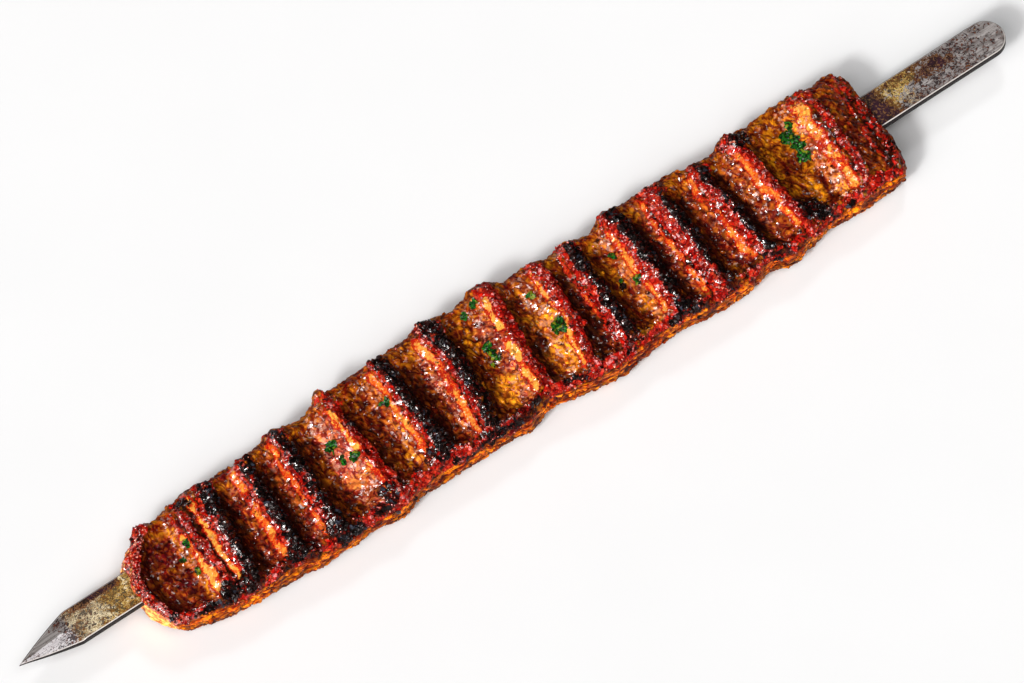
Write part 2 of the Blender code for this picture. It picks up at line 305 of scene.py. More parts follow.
def body_sections(angles):
    """Points (rings, around, 3) of the body, with the crest coordinate u and the across and lift values of each."""
    u = np.linspace(CRESTS[0, 0], CRESTS[-1, 0], ALONG)[:, None]
    i, f = crest_place(u)
    a, b = CRESTS[i], CRESTS[i + 1]
    back = reach(a[..., 4], a[..., 7], b[..., 4], f)
    front = reach(a[..., 5], a[..., 8], b[..., 5], f)
    y, lift = outline(angles[None, :], back, front)
    lift = lift * np.ones_like(y)
    skew, bow = mix(a[..., 2], b[..., 2], f), mix(a[..., 3], b[..., 3], smooth(0, 1, f))
    across = y / np.where(y > 0, back, front)
    follow = smooth(-0.9, 0.4, lift)
    x = u + (skew * -y - bow * across * across) * mix(0.45, 1.0, follow)
    # The point's end leans out over its foot, and its +Y corner is drawn back.
    near_end = smooth(-140.0, -150.0, u)
    x = x + near_end * 2.6 * smooth(0.35, 1.0, np.abs(across)) * np.where(across < 0, mix(1.0, 0.45, smooth(0.1, 0.8, lift)), 1.0)
    x = x - near_end * END_LEAN * smooth(0.55, 0.1, across) * smooth(-0.6, 0.3, lift)
    x = x + near_end * 1.4 * smooth(-0.25, -0.7, across) * smooth(0.2, -0.5, lift)

    # A crest isn't ruled: it wanders a little along X and in height.
    flat = np.stack([x, y, np.zeros_like(x)], -1)
    wander = 0.75 * clouds(flat, 8.0, 3) + 0.35 * clouds(flat, 3.6, 4)
    place = u + wander * smooth(-0.2, 0.5, lift) * smooth(0, 4, u - CRESTS[0, 0]) * smooth(0, 4, CRESTS[-1, 0] - u)
    j, g = crest_place(place)
    depth = CRESTS[j, 6] * 1.12
    fade = 1 - (1 - LIP_FADE) * smooth(0.68, 0.93, -across) - (1 - BACK_FADE) * smooth(0.5, 0.95, across)
    top = mix(CRESTS[j, 1], CRESTS[j + 1, 1], g) - depth * dent(g) * fade
    z = level(lift, top)
    return np.stack([x, y, z], -1), place, across, lift


def end_rings(ring, face_x, inward, slot):
    """Rings that roll the body over into its end face and run in to the slot. inward is +1 at the -X end."""
    middle = ring[np.argmin(np.abs(ring[:, 1]) + np.abs(ring[:, 2] - MIDDLE_LEVEL)), 0]
    made = []
    for k in range(ROLL_RINGS):
        turn = math.pi / 2 * k / (ROLL_RINGS - 1)
        draw, distance = 3.0 * math.sin(turn) ** 1.6, 2.2 * (1 - math.cos(math.pi / 2 - turn)) if k else 2.2
        distance = 2.2 * math.cos(turn) ** 1.2
        scale_y, scale_z = 1 - draw / 20.0, 1 - 0.8 * draw / MIDDLE_LEVEL
        x = face_x + (ring[:, 0] - middle) * scale_y ** 2 + inward * distance
        made.append(np.stack([x, ring[:, 1] * scale_y, MIDDLE_LEVEL + (ring[:, 2] - MIDDLE_LEVEL) * scale_z], -1))
    edge = made[-1]
    for k in range(1, FACE_RINGS + 1):
        t = k / FACE_RINGS
        p = mix(edge, slot, t)
        p[:, 0] -= inward * 0.9 * math.sin(math.pi * t) ** 0.8 * (1 - 0.3 * t)
        p[:, 0] += inward * 1.3 * smooth(0.8, 1.0, t)
        made.append(p)
    return np.array(made)


def slot_ring(x, angles):
    """The rectangle where the bar comes out, with as many points as a section."""
    half_w, half_t = BAR_WIDTH / 2 + 0.05, BAR_THICK / 2 + 0.05
    c, s = np.cos(angles), np.sin(angles)
    big = np.maximum(np.abs(c), np.abs(s))
    y, z = -c / big * half_w, s / big * half_t
    return np.stack([np.full_like(y, x), y + BAR_SIDE, z + BAR_LEVEL], -1)


def outward(points):
    """Unit normals of a grid of points (rings, around, 3)."""
    along = np.gradient(points, axis=0)
    around = (np.roll(points, -1, 1) - np.roll(points, 1, 1)) / 2
    n = np.cross(around, along)
    n /= np.maximum(1e-9, np.linalg.norm(n, axis=-1, keepdims=True))
    return n


def patch(points, spots):
    total = np.zeros(points.shape[:-1])
    for x, y, radius, strength in spots:
        d = np.hypot(points[..., 0] - x, points[..., 1] - y) / radius
        total = np.maximum(total, strength * smooth(1.35, 0.45, d))
    return total


def mince_surface():
    """The relief surface and its masks: a dict of arrays over a (rings, around) grid."""
    angles = section_angles()
    body, place, across, lift = body_sections(angles)
    rings = ROLL_RINGS + FACE_RINGS
    left = end_rings(body[0], MEAT_LEFT - END_LEAN, 1, slot_ring(MEAT_LEFT - 1.2, angles))[::-1]
    right = end_rings(body[-1], MEAT_RIGHT, -1, slot_ring(MEAT_RIGHT - 1.0, angles))
    # The first rolled ring of each end is the body's own last ring, so it is dropped.
    points = np.concatenate([left[:-1], body, right[1:]])
    grow = lambda v, l, r: np.concatenate([np.repeat(v[:1], l, 0), v, np.repeat(v[-1:], r, 0)])
    place = grow(place, rings - 1, rings - 1)
    across = grow(across, rings - 1, rings - 1)
    lift = grow(lift, rings - 1, rings - 1)
    count = len(points)
    ring = np.arange(count)[:, None]
    into = np.maximum(np.clip((FACE_RINGS + 2 - ring) / 3.0, 0, 1), np.clip((ring - (count - 1 - FACE_RINGS - 2)) / 3.0, 0, 1))
    end_face = into * np.ones_like(lift)
    slot_near = np.maximum(smooth(3, 0, ring), smooth(3, 0, count - 1 - ring)) * np.ones_like(lift)
    left_end = (ring < count / 2) * np.ones_like(lift)

    n = outward(points)
    if np.sum(n[count // 2, :, 2] * (points[count // 2, :, 2] - MIDDLE_LEVEL)) < 0:
        n = -n
    bottom = smooth(-0.86, -0.97, lift) * (1 - end_face)
    # Juice runs down and shines on the shoulders that lean back towards the point.
    gloss = smooth(0.35, 0.85, n @ np.array(GLOSS_TOWARD)) * smooth(0.62, 0.22, -n[..., 1])
    gloss = np.maximum(gloss, 0.6 * smooth(-144.5, -147.5, place) * smooth(0.15, 0.5, lift) * smooth(0.9, 0.7, across))

    # Bands across the crests, measured from each crest in millimetres.
    warp = 0.55 * clouds(points, 2.6, 21) + 0.45 * clouds(points, 5.0, 22)
    j, g = crest_place(place + warp)
    after = place + warp - CRESTS[j, 0]
    before = CRESTS[j + 1, 0] - (place + warp)
    this, following = LOOKS[j], LOOKS[j + 1]
    top = smooth(0.42, 0.72, lift) * (1 - end_face)
    upper_end = smooth(0.70, 0.98, across)
    lower_end = smooth(0.80, 0.93, -across)
    run = 1 - np.maximum(upper_end * 0.75, lower_end)

    window = lambda d, low, high, soft: smooth(low - soft, low + soft, d) * smooth(high + soft, high - soft, d)
    both = lambda how, *args: np.maximum(how(this, after, *args), how(following, -before, *args))

    def band(row, d, amount, low, high, soft):
        return row[..., amount] * window(d, row[..., low], row[..., high], soft)

    char = both(band, CHAR, CHAR_A, CHAR_B, 0.7)
    char = char * (1 - 0.35 * lower_end) * (1 - 0.25 * upper_end) * smooth(0.3, 0.75, lift)
    char *= np.clip(0.86 + 0.60 * clouds(points, (3.2, 5.5, 3.0), 30), 0, 1.15)
    # Black also gathers where the lip of the -Y edge stood nearest the fire.
    lip = smooth(0.82, 0.92, -across + 0.06 * clouds(points, (4.0, 9.0, 9.0), 35)) * smooth(0.14, 0.38, lift + 0.16 * clouds(points, (4.0, 3.0, 2.5), 34) + 0.34 * clouds(points, (7.5, 5.0, 5.0), 36))
    char = np.maximum(char, lip * (0.20 + 0.95 * clouds(points, (4.6, 3.4, 3.0), 31)))
    char = np.maximum(char, patch(points, CHAR_PATCHES) * smooth(0.2, 0.5, lift))
    char *= 1 - end_face * 0.8

    red = both(band, RED, RED_A, RED_B, 0.8)
    red = np.maximum(red, (0.62 + 0.60 * clouds(points, (5.0, 3.0, 3.0), 32)) * lip)
    near_crest = np.maximum(smooth(6.0, 2.5, after), smooth(6.0, 2.5, before)) * (1 - smooth(-143, -139, place) * smooth(-127.5, -129.5, place))
    red = np.maximum(red, 0.8 * smooth(0.55, 0.75, across) * smooth(0.45, 0.75, lift) * near_crest * (0.6 + 0.6 * clouds(points, 6.0, 33)) * (1 - 0.75 * smooth(131, 137, place)))
    red *= np.maximum(smooth(0.15, 0.4, lift), 0.9 * lip) * (1 - end_face)
    # The point's end is crimson along its top and its +Y corner.
    corner = np.maximum(0.72 * smooth(0.25, 0.65, lift), 0.85 * smooth(0.05, 0.35, across) * smooth(-0.5, 0.1, lift))
    red = np.maximum(red, left_end * end_face * np.clip(corner * (0.8 + 0.5 * clouds(points, 3.0, 37)), 0, 1))

    # The bright line and the bright -X slope are partly a painted highlight on the shoulders that face the key lamp.
    shine = np.clip(0.88 + 0.55 * clouds(points, (4.0, 4.5, 4.0), 41), 0, 1) * run * top
    line = both(lambda row, d: row[..., LINE] * smooth(row[..., LINE_HALF] + 1.1, 0.0, np.abs(d - row[..., LINE_AT]))) * shine
    slope = following[..., SLOPE] * window(-before, following[..., SLOPE_A] + 0.5, following[..., LINE_AT], 1.2) * run * top
    slope *= np.clip(0.9 + 0.45 * clouds(points, 6.0, 42), 0, 1)
    glow = patch(points, GLOW_PATCHES) * top
    yellow = np.clip(np.where(before < after, following[..., YELLOW], this[..., YELLOW]) + 0.25 * clouds(points, 4.0, 43), 0, 1)
    pink = np.clip(following[..., PINK] + 0.35 * clouds(points, 5.0, 44), 0, 1)
    tone = np.clip(this[..., TONE] + 0.3 * clouds(points, 7.0, 45) + 0.15 * clouds(points, 2.5, 46), 0, 1)

    # Relief: lumps, packed grains and short strands of mince, pulled out of line.
    drift = np.stack([clouds(points, 3.4, 56), clouds(points, 3.4, 57), clouds(points, 3.4, 58)], -1)
    drift += 0.4 * np.stack([clouds(points, 1.5, 66), clouds(points, 1.5, 67), clouds(points, 1.5, 68)], -1)
    loose = points + 0.95 * drift
    rough = np.clip(0.12 + 0.95 * np.maximum(char, red) + 0.18 * (1 - top), 0, 1.15)
    lump, lump_own, _ = grains(loose, 3.9, 51)
    grain, own, crease = grains(loose, (2.0, 2.1, 1.9), 52)
    strand, strand_own, _ = grains(loose, (1.7, 2.9, 2.2), 53)
    detail = (lump - 0.45) * mix(0.50, 0.95, rough)
    detail += (grain - 0.4) * mix(0.20, 0.90, rough)
    detail += (strand - 0.4) * mix(0.40, 0.15, rough)
    detail += mix(0.05, 0.16, rough) * clouds(loose, 0.95, 59)
    detail += 0.45 * char * (grain - 0.3)
    swell = clouds(points, 11.0, 54) * 0.45 + clouds(points, 5.5, 55) * 0.25
    height = swell * (1 - 0.4 * top) + detail
    for knob_x, knob_y, radius, rise in KNOBS:
        height += rise * smooth(1.3, 0.1, np.hypot(points[..., 0] - knob_x, points[..., 1] - knob_y) / radius) * smooth(-0.2, 0.4, lift)
    height *= (1 - bottom * 0.92) * (1 - slot_near)
    height *= 1 - 0.35 * end_face
    shaped = points + n * height[..., None]
    shaped[..., 2] = np.where(bottom > 0.5, points[..., 2], np.maximum(0.0, shaped[..., 2]))

    # How far each point stands above or below what is round it.
    soft = detail
    for _ in range(3):
        soft = (np.roll(soft, 1, 1) + soft + np.roll(soft, -1, 1)) / 3
        soft = np.concatenate([soft[:1], (soft[:-2] + soft[1:-1] + soft[2:]) / 3, soft[-1:]])
    pit = np.clip((detail - soft) / 0.22, -1.5, 1.5)
    return {
        "points": shaped, "place": place, "across": across, "lift": lift, "end": end_face, "left": left_end,
        "bottom": bottom, "char": char, "red": red, "line": line, "slope": slope, "glow": glow, "yellow": yellow,
        "pink": pink, "tone": tone, "lip": lip, "top": top, "own": own, "crease": crease, "after": after, "height": height,
        "pit": pit, "gloss": gloss, "side": smooth(0.5, 0.3, lift) * (1 - end_face), "strand": strand_own, "lump": lump_own, "rough": rough,
    }


def mince_tint(s):
    """The colour under the char, crimson and bright lines, for each point."""
    p = s["points"]
    col = lambda c: np.asarray(c)[None, None, :]
    # Amber glaze over dark brown, in patches and strands, a little lighter on raised points and darker in creases as
    # painted shade.
    tone = s["tone"] + 0.35 * (s["strand"] - 0.5) + 0.30 * clouds(p, (1.9, 2.7, 2.0), 62) + 0.12 * s["pit"]
    tone = np.clip(tone, 0, 1)[..., None]
    tint = mix(col(VALLEY_DARK), col(VALLEY_BROWN), smooth(0.05, 0.42, tone))
    tint = mix(tint, col(VALLEY_AMBER), smooth(0.42, 0.95, tone))
    dish = smooth(-126, -132, s["place"])[..., None]
    tint = mix(tint, col(DISH_RED) * mix(0.6, 1.3, s["own"][..., None]), dish * 0.6)
    # Painted shade: the foot of a crest's +X slope, which turns away from the key lamp, is darkened most.
    shade = (smooth(8.5, 3.0, s["after"]) * (1 - 0.6 * smooth(125, 129, s["place"])))[..., None] * s["top"][..., None]
    tint = tint * mix(1.0, 0.40, shade)
    # Painted highlight, partly: the -X slopes that face the key lamp are tinted bright yellow and pink, a little
    # lighter on raised points, and the glow patches take the same yellow.
    slope_tint = mix(col(SLOPE_YELLOW), col(SLOPE_PINK), s["pink"][..., None])
    slope = np.clip(s["slope"] * (0.9 + 0.5 * (s["lump"] - 0.5)) + 0.10 * s["pit"] * (s["slope"] > 0.05), 0, 1)[..., None]
    tint = mix(tint, col(SLOPE_BROWN), smooth(0.0, 0.42, slope))
    tint = mix(tint, slope_tint, smooth(0.32, 1.0, slope))
    tint = mix(tint, col(SLOPE_YELLOW), s["glow"][..., None] * 0.75)
    # Down the side: an orange rim under the lip, then amber and olive brown, its streaks a little darker in creases as
    # painted shade.
    lift = s["lift"] + 0.10 * clouds(p, (5.0, 3.0, 2.0), 63)
    side = (smooth(0.42, 0.26, lift) * (1 - s["end"]))[..., None]
    streak = np.clip(0.5 + 0.55 * clouds(p, (5.0, 2.5, 1.6), 61) + 0.5 * clouds(p, (2.2, 1.4, 0.9), 64) + 0.12 * s["pit"], 0, 1)[..., None]
    low = smooth(0.15, -0.55, lift)[..., None]
    stained = smooth(0.30, 0.62, 0.5 + 0.5 * clouds(p, (8.0, 5.0, 3.4), 65) + 0.2 * clouds(p, (3.0, 2.0, 1.8), 69))[..., None]
    flank = mix(mix(col(SIDE_BROWN), col(SIDE_ORANGE), streak), mix(col(SIDE_DARK), col(SIDE_AMBER), streak), low)
    tint = mix(tint, flank * mix(np.array((0.64, 0.56, 0.44)), 1.08, stained), side)
    # The handle's end is darker beyond its last crest, where it turns away from the key lamp: partly browner meat,
    # partly painted shade.
    tint = tint * mix(1.0, 0.58, smooth(135, 140, s["place"]) * s["top"])[..., None]
    back = (smooth(0.5, 0.72, s["across"]) * smooth(0.3, 0.6, s["lift"]) * (1 - s["end"]))[..., None]
    tint = mix(tint, mix(col(SIDE_BROWN), col(VALLEY_AMBER), streak), back * 0.7)
    tint = mix(tint, col(UNDER_BROWN), s["bottom"][..., None] * 0.7)
    # The point's end, facing the key lamp, is orange and yellow and the handle's end dark brown: partly their own
    # colour, partly painted light and painted shade.
    end = s["end"][..., None]
    end_tint = np.where(s["left"][..., None] > 0.5, mix(col(END_ORANGE), col(END_YELLOW), streak), mix(col(SIDE_DARK), col(END_BROWN), streak))
    tint = mix(tint, end_tint, end)
    # Painted shade: creases between grains are darker than their tops.
    depth = mix(0.45, 0.8, s["rough"]) * s["pit"]
    return tint * np.array((0.98, 0.89, 0.80)) * np.clip(1 + depth, 0.15, 1.6)[..., None] * mix(0.84, 1.18, s["own"][..., None])


def grid_faces(rings, around, closed):
    """Quads of a grid that is closed round each ring and, if asked, from the last ring to the first."""
    r = np.arange(rings if closed else rings - 1)
    a = np.arange(around)
    r, a = np.meshgrid(r, a, indexing="ij")
    r2, a2 = (r + 1) % rings, (a + 1) % around
    return np.stack([r * around + a, r * around + a2, r2 * around + a2, r2 * around + a], -1).reshape(-1, 4)


def mesh_object(name, verts_mm, faces, material, shift_y, smooth_angle=None):
    """A mesh object from points in millimetres and faces of equal size."""
    verts = np.array(verts_mm, float)
    verts[:, 1] += shift_y
    verts *= MM
    faces = np.asarray(faces, np.int32)
    size = faces.shape[1]
    mesh = bpy.data.meshes.new(name)
    mesh.vertices.add(len(verts))
    mesh.vertices.foreach_set("co", verts.astype(np.float32).ravel())
    mesh.loops.add(faces.size)
    mesh.loops.foreach_set("vertex_index", faces.ravel())
    mesh.polygons.add(len(faces))
    mesh.polygons.foreach_set("loop_start", np.arange(0, faces.size, size, dtype=np.int32))
    mesh.polygons.foreach_set("loop_total", np.full(len(faces), size, np.int32))
    mesh.update(calc_edges=True)
    mesh.validate()
    mesh.materials.append(material)
    mesh.shade_smooth()
    if smooth_angle is not None:
        mesh.set_sharp_from_angle(angle=math.radians(smooth_angle))
    obj = bpy.data.objects.new(name, mesh)
    bpy.context.scene.collection.objects.link(obj)
    return obj


def facing_out(verts, faces):
    """The faces turned so that the closed mesh has positive volume."""
    a, b, c = verts[faces[:, 0]], verts[faces[:, 1]], verts[faces[:, 2]]
    volume = np.einsum("ij,ij->i", a, np.cross(b, c)).sum()
    if faces.shape[1] == 4:
        d = verts[faces[:, 3]]
        volume += np.einsum("ij,ij->i", a, np.cross(c, d)).sum()
    return faces if volume > 0 else faces[:, ::-1]


def add_value(obj, name, values):
    attribute = obj.data.attributes.new(name, "FLOAT", "POINT")
    attribute.data.foreach_set("value", np.asarray(values, np.float32).ravel())


def add_colour(obj, name, colours):
    rgba = np.ones((len(colours), 4), np.float32)
    rgba[:, :3] = colours
    attribute = obj.data.attributes.new(name, "FLOAT_COLOR", "POINT")
    attribute.data.foreach_set("color", rgba.ravel())


# -------------------------------------------------------------------- materials
class Graph:
    """A small helper that writes shader nodes."""

    def __init__(self, name):
        self.material = bpy.data.materials.new(name)
        self.material.use_nodes = True
        self.tree = self.material.node_tree
        self.shader = self.tree.nodes["Principled BSDF"]
        self.where = self.tree.nodes.new("ShaderNodeTexCoord").outputs["Object"]

    def put(self, socket, value):
        if isinstance(value, bpy.types.NodeSocket):
            self.tree.links.new(value, socket)
        elif isinstance(value, (tuple, list, np.ndarray)):
            value = tuple(float(v) for v in value)
            socket.default_value = value + (1.0,) if socket.type == "RGBA" and len(value) == 3 else value
        else:
            socket.default_value = float(value)

    def value(self, name):
        node = self.tree.nodes.new("ShaderNodeAttribute")
        node.attribute_name = name
        return node.outputs["Fac"]

    def colour(self, name):
        node = self.tree.nodes.new("ShaderNodeAttribute")
        node.attribute_name = name
        return node.outputs["Color"]

    def stretched(self, scale):
        node = self.tree.nodes.new("ShaderNodeVectorMath")
        node.operation = "MULTIPLY"
        self.put(node.inputs[0], self.where)
        node.inputs[1].default_value = scale
        return node.outputs[0]

    def bent(self, size, amount):
        """Object coordinates pushed about by noise, both in millimetres."""
        node = self.tree.nodes.new("ShaderNodeTexNoise")
        self.put(node.inputs["Vector"], self.where)
        self.put(node.inputs["Scale"], 1000.0 / size)
        self.put(node.inputs["Detail"], 1.0)
        push = self.vector("MULTIPLY_ADD", node.outputs["Color"], (amount * MM,) * 3, (-0.5 * amount * MM,) * 3)
        return self.vector("ADD", self.where, push)

    def vector(self, operation, a, b=(0, 0, 0), c=None):
        node = self.tree.nodes.new("ShaderNodeVectorMath")
        node.operation = operation
        self.put(node.inputs[0], a)
        self.put(node.inputs[1], b)
        if c is not None:
            self.put(node.inputs[2], c)
        return node.outputs[0]

    def facets(self, size, tilt, at):
        """The surface normal tipped a different way in each small cell, for glints."""
        node = self.tree.nodes.new("ShaderNodeTexVoronoi")
        self.put(node.inputs["Vector"], at)
        self.put(node.inputs["Scale"], 1000.0 / size)
        normal = self.tree.nodes.new("ShaderNodeNewGeometry").outputs["Normal"]
        tipped = self.vector("MULTIPLY_ADD", node.outputs["Color"], (tilt,) * 3, (-0.5 * tilt,) * 3)
        return self.vector("NORMALIZE", self.vector("ADD", normal, tipped))

    def noise(self, size, detail=2.0, rough=0.5, distortion=0.0, stretch=None):
        node = self.tree.nodes.new("ShaderNodeTexNoise")
        self.put(node.inputs["Vector"], self.stretched(stretch) if stretch else self.where)
        self.put(node.inputs["Scale"], 1000.0 / size)
        self.put(node.inputs["Detail"], detail)
        self.put(node.inputs["Roughness"], rough)
        self.put(node.inputs["Distortion"], distortion)
        return node.outputs[0]

    def cells(self, size, feature="F1", stretch=None, smoothness=None, at=None):
        node = self.tree.nodes.new("ShaderNodeTexVoronoi")
        node.feature = feature
        self.put(node.inputs["Vector"], at if at is not None else self.stretched(stretch) if stretch else self.where)
        self.put(node.inputs["Scale"], 1000.0 / size)
        if smoothness is not None:
            self.put(node.inputs["Smoothness"], smoothness)
        return node.outputs["Distance"], node.outputs.get("Color")

    def calc(self, operation, a, b=0.0, c=None, clamp=False):
        node = self.tree.nodes.new("ShaderNodeMath")
        node.operation = operation
        node.use_clamp = clamp
        self.put(node.inputs[0], a)
        self.put(node.inputs[1], b)
        if c is not None:
            self.put(node.inputs[2], c)
        return node.outputs[0]

    def band(self, value, low, high, to_low=0.0, to_high=1.0):
        node = self.tree.nodes.new("ShaderNodeMapRange")
        node.interpolation_type = "SMOOTHSTEP"
        self.put(node.inputs["Value"], value)
        self.put(node.inputs["From Min"], low)
        self.put(node.inputs["From Max"], high)
        self.put(node.inputs["To Min"], to_low)
        self.put(node.inputs["To Max"], to_high)
        return node.outputs["Result"]

    def blend(self, factor, a, b, mode="MIX"):
        node = self.tree.nodes.new("ShaderNodeMix")
        node.data_type = "RGBA"
        node.blend_type = mode
        self.put(node.inputs[0], factor)
        self.put(node.inputs[6], a)
        self.put(node.inputs[7], b)
        return node.outputs[2]

    def single(self, colour_socket, channel=0):
        """One channel of a random colour, as a number for each cell."""
        node = self.tree.nodes.new("ShaderNodeSeparateColor")
        self.put(node.inputs[0], colour_socket)
        return node.outputs[channel]

    def bump(self, height, strength, distance, normal=None):
        node = self.tree.nodes.new("ShaderNodeBump")
        self.put(node.inputs["Height"], height)
        node.inputs["Strength"].default_value = strength
        node.inputs["Distance"].default_value = distance * MM
        if normal is not None:
            self.put(node.inputs["Normal"], normal)
        return node.outputs[0]

    def set(self, name, value):
        self.put(self.shader.inputs[name], value)


def mince_material(name="grilled_mince_fine"):
    g = Graph(name)
    centred = lambda v, k: g.calc("MULTIPLY", g.calc("SUBTRACT", v, 0.5), k)
    times = lambda a, b: g.calc("MULTIPLY", a, b)
    add = lambda *terms: terms[0] if len(terms) == 1 else g.calc("ADD", terms[0], add(*terms[1:]))
    grit = g.noise(0.5, 2, 0.6)
    fine = g.noise(1.15, 2, 0.5, 1.2)
    mid = g.noise(2.0, 2, 0.5, 1.6)
    wide = g.noise(5.0, 1, 0.5, 0.8)
    along = g.noise(2.4, 2, 0.5, 1.4, stretch=(0.42, 1.2, 1.7))
    strokes = g.noise(2.7, 2, 0.5, 1.6, stretch=(1.15, 0.8, 1.05))
    strokes = add(times(strokes, g.calc("SUBTRACT", 1.0, g.value("side"))), times(along, g.value("side")))
    bent = g.bent(1.6, 1.1)
    distance, random = g.cells(1.8, at=bent)
    gap, _ = g.cells(1.8, "DISTANCE_TO_EDGE", at=bent)
    chance = g.single(random)
    bits = g.bent(1.0, 1.1)
    _, other = g.cells(1.1, at=bits)
    bit = [g.single(other, k) for k in range(3)]
    slope, wet = g.value("slope"), g.calc("MAXIMUM", g.value("red"), g.value("char"))

    # Glaze: dark and clear in the low places, amber where it lies thick.
    tint = g.colour("tint")
    value = g.tree.nodes.new("ShaderNodeHueSaturation")
    g.put(value.inputs["Color"], tint)
    g.put(value.inputs["Value"], add(g.band(strokes, 0.36, 0.64, 0.42, 1.6), centred(mid, 0.9), centred(grit, 0.15)))
    g.put(value.inputs["Hue"], add(g.band(strokes, 0.38, 0.64, -0.018, 0.014), 0.5))
    tint = value.outputs[0]

    # Pale blots and small pale cells on the bright slopes are partly fat and partly a painted highlight, over red meat.
    soft = g.noise(2.9, 1, 0.5, 1.2)
    tint = g.blend(times(g.band(soft, 0.48, 0.38), g.band(slope, 0.2, 0.9, 0.0, 0.38)), tint, srgb(160, 40, 14))
    tint = g.blend(times(g.band(soft, 0.54, 0.66), g.band(slope, 0.25, 0.9, 0.0, 0.50)), tint, srgb(230, 152, 120))
    tint = g.blend(times(g.band(bit[1], 0.88, 0.92), g.band(slope, 0.2, 0.7, 0.0, 0.32)), tint, srgb(242, 196, 176))

    # The bright line, partly crust and partly a painted highlight: red at its edges, orange, then yellow at its core.
    line = add(g.value("line"), centred(fine, 0.8), centred(strokes, 0.7), centred(wide, 0.45))
    core = g.blend(add(g.value("yellow"), centred(mid, 1.8), centred(fine, 1.6), centred(bit[1], 0.5)), srgb(228, 88, 18), srgb(252, 186, 78))
    core = g.blend(g.band(grit, 0.52, 0.66, 0.0, 0.35), core, srgb(206, 62, 14))
    colour = g.blend(g.band(line, 0.50, 0.70), srgb(176, 24, 12), srgb(216, 66, 18))
    colour = g.blend(g.band(line, 0.60, 0.82), colour, core)
    colour = g.blend(times(g.band(bit[2], 0.18, 0.12), 0.5), colour, srgb(200, 44, 16))
    tint = g.blend(g.band(line, 0.34, 0.50), tint, colour)

    # Crimson fringe, broken up grain by grain, with brighter red and pale pink grains among it; the pale pink ones are
    # painted glints.
    red = add(g.value("red"), centred(mid, 1.0), centred(chance, 0.5))
    crimson = g.blend(add(times(chance, 0.55), 0.2, centred(fine, 1.6), centred(mid, 0.8)), srgb(88, 3, 9), srgb(232, 28, 15))
    crimson = g.blend(times(g.band(bit[0], 0.66, 0.72), 0.7), crimson, srgb(234, 74, 44))
    crimson = g.blend(times(g.band(bit[0], 0.92, 0.94), 0.8), crimson, srgb(246, 150, 150))
    tint = g.blend(times(g.band(red, 0.34, 0.58), 0.95), tint, crimson)

    # Char: brown at its edges, then black lumps with red ones among them, and cold grey ones that are painted glints.
    burnt = add(g.value("char"), centred(mid, 0.9), centred(chance, 0.6), centred(wide, 1.0))
    black = g.blend(g.band(strokes, 0.42, 0.62), srgb(6, 4, 6), srgb(24, 9, 9))
    black = g.blend(times(g.band(bit[2], 0.22, 0.18), 0.7), black, srgb(96, 16, 12))
    black = g.blend(times(g.band(bit[2], 0.93, 0.96), 0.5), black, srgb(80, 88, 106))
    tint = g.blend(times(g.band(burnt, 0.34, 0.46), 0.85), tint, srgb(52, 9, 8))
    tint = g.blend(g.band(burnt, 0.46, 0.58), tint, black)

    # Painted shade: the gaps between lumps are darkened nearly to black.
    gap_shade = g.band(times(gap, g.band(grit, 0.3, 0.7, 0.6, 1.5)), 0.02, 0.20)
    crease = g.tree.nodes.new("ShaderNodeHueSaturation")
    g.put(crease.inputs["Color"], tint)
    g.put(crease.inputs["Value"], g.calc("SUBTRACT", 1.0, times(g.calc("SUBTRACT", 1.0, gap_shade), g.band(wet, 0.1, 0.7, 0.10, 0.55))))
    g.set("Base Color", crease.outputs[0])

    g.set("Roughness", g.band(mid, 0.35, 0.65, 0.38, 0.6))
    g.set("Specular IOR Level", 0.06)
    g.set("Specular Tint", (1.0, 0.7, 0.5))
    shiny = g.calc("MAXIMUM", g.calc("MAXIMUM", slope, g.value("red")), times(g.value("char"), 0.26))
    shiny = g.calc("MAXIMUM", shiny, g.value("line"))
    patchy = g.band(add(g.single(random, 1), centred(fine, 0.8)), 0.44, 0.52)
    g.set("Coat Weight", times(times(patchy, g.band(shiny, 0.02, 0.5, 0.2, 1.0)), g.band(g.value("gloss"), 0.0, 0.6, 0.10, 1.0)))
    g.set("Coat Roughness", 0.12)
    g.set("Coat IOR", 2.12)
    g.set("Coat Normal", g.facets(1.05, 0.72, bits))

    height = times(g.band(distance, 0.75, 0.0), g.band(wet, 0.0, 0.6, 0.25, 0.9))
    height = times(add(height, times(mid, 0.7), times(strokes, 0.6), times(fine, 0.15)), g.band(wet, 0.0, 0.6, 0.6, 1.0))
    g.set("Normal", g.bump(height, 1.0, 0.6))
    return g.material


def char_material():
    g = Graph("char_crumb_black")
    mid = g.noise(0.9, 3, 0.6)
    g.set("Base Color", g.blend(g.band(mid, 0.4, 0.65), srgb(7, 5, 7), srgb(44, 14, 12)))
    g.set("Roughness", g.band(mid, 0.35, 0.65, 0.3, 0.6))
    g.set("Specular IOR Level", 0.1)
    g.set("Coat Weight", 1.0)
    g.set("Coat Roughness", 0.16)
    g.set("Coat IOR", 1.38)
    g.set("Normal", g.bump(g.noise(0.4, 3, 0.6), 0.8, 0.25))
    return g.material


def bead_material():
    g = Graph("meat_juice")
    mid = g.noise(2.0, 2, 0.5)
    # The beads are pale pink so that they show as glints: juice, and partly a painted highlight.
    g.set("Base Color", g.blend(g.band(mid, 0.4, 0.6), srgb(240, 150, 120), srgb(214, 96, 96)))
    g.set("Roughness", g.band(g.noise(0.5, 1, 0.5), 0.3, 0.7, 0.05, 0.14))
    g.set("Specular IOR Level", 0.8)
    g.set("Coat Weight", 1.0)
    g.set("Coat Roughness", 0.04)
    return g.material


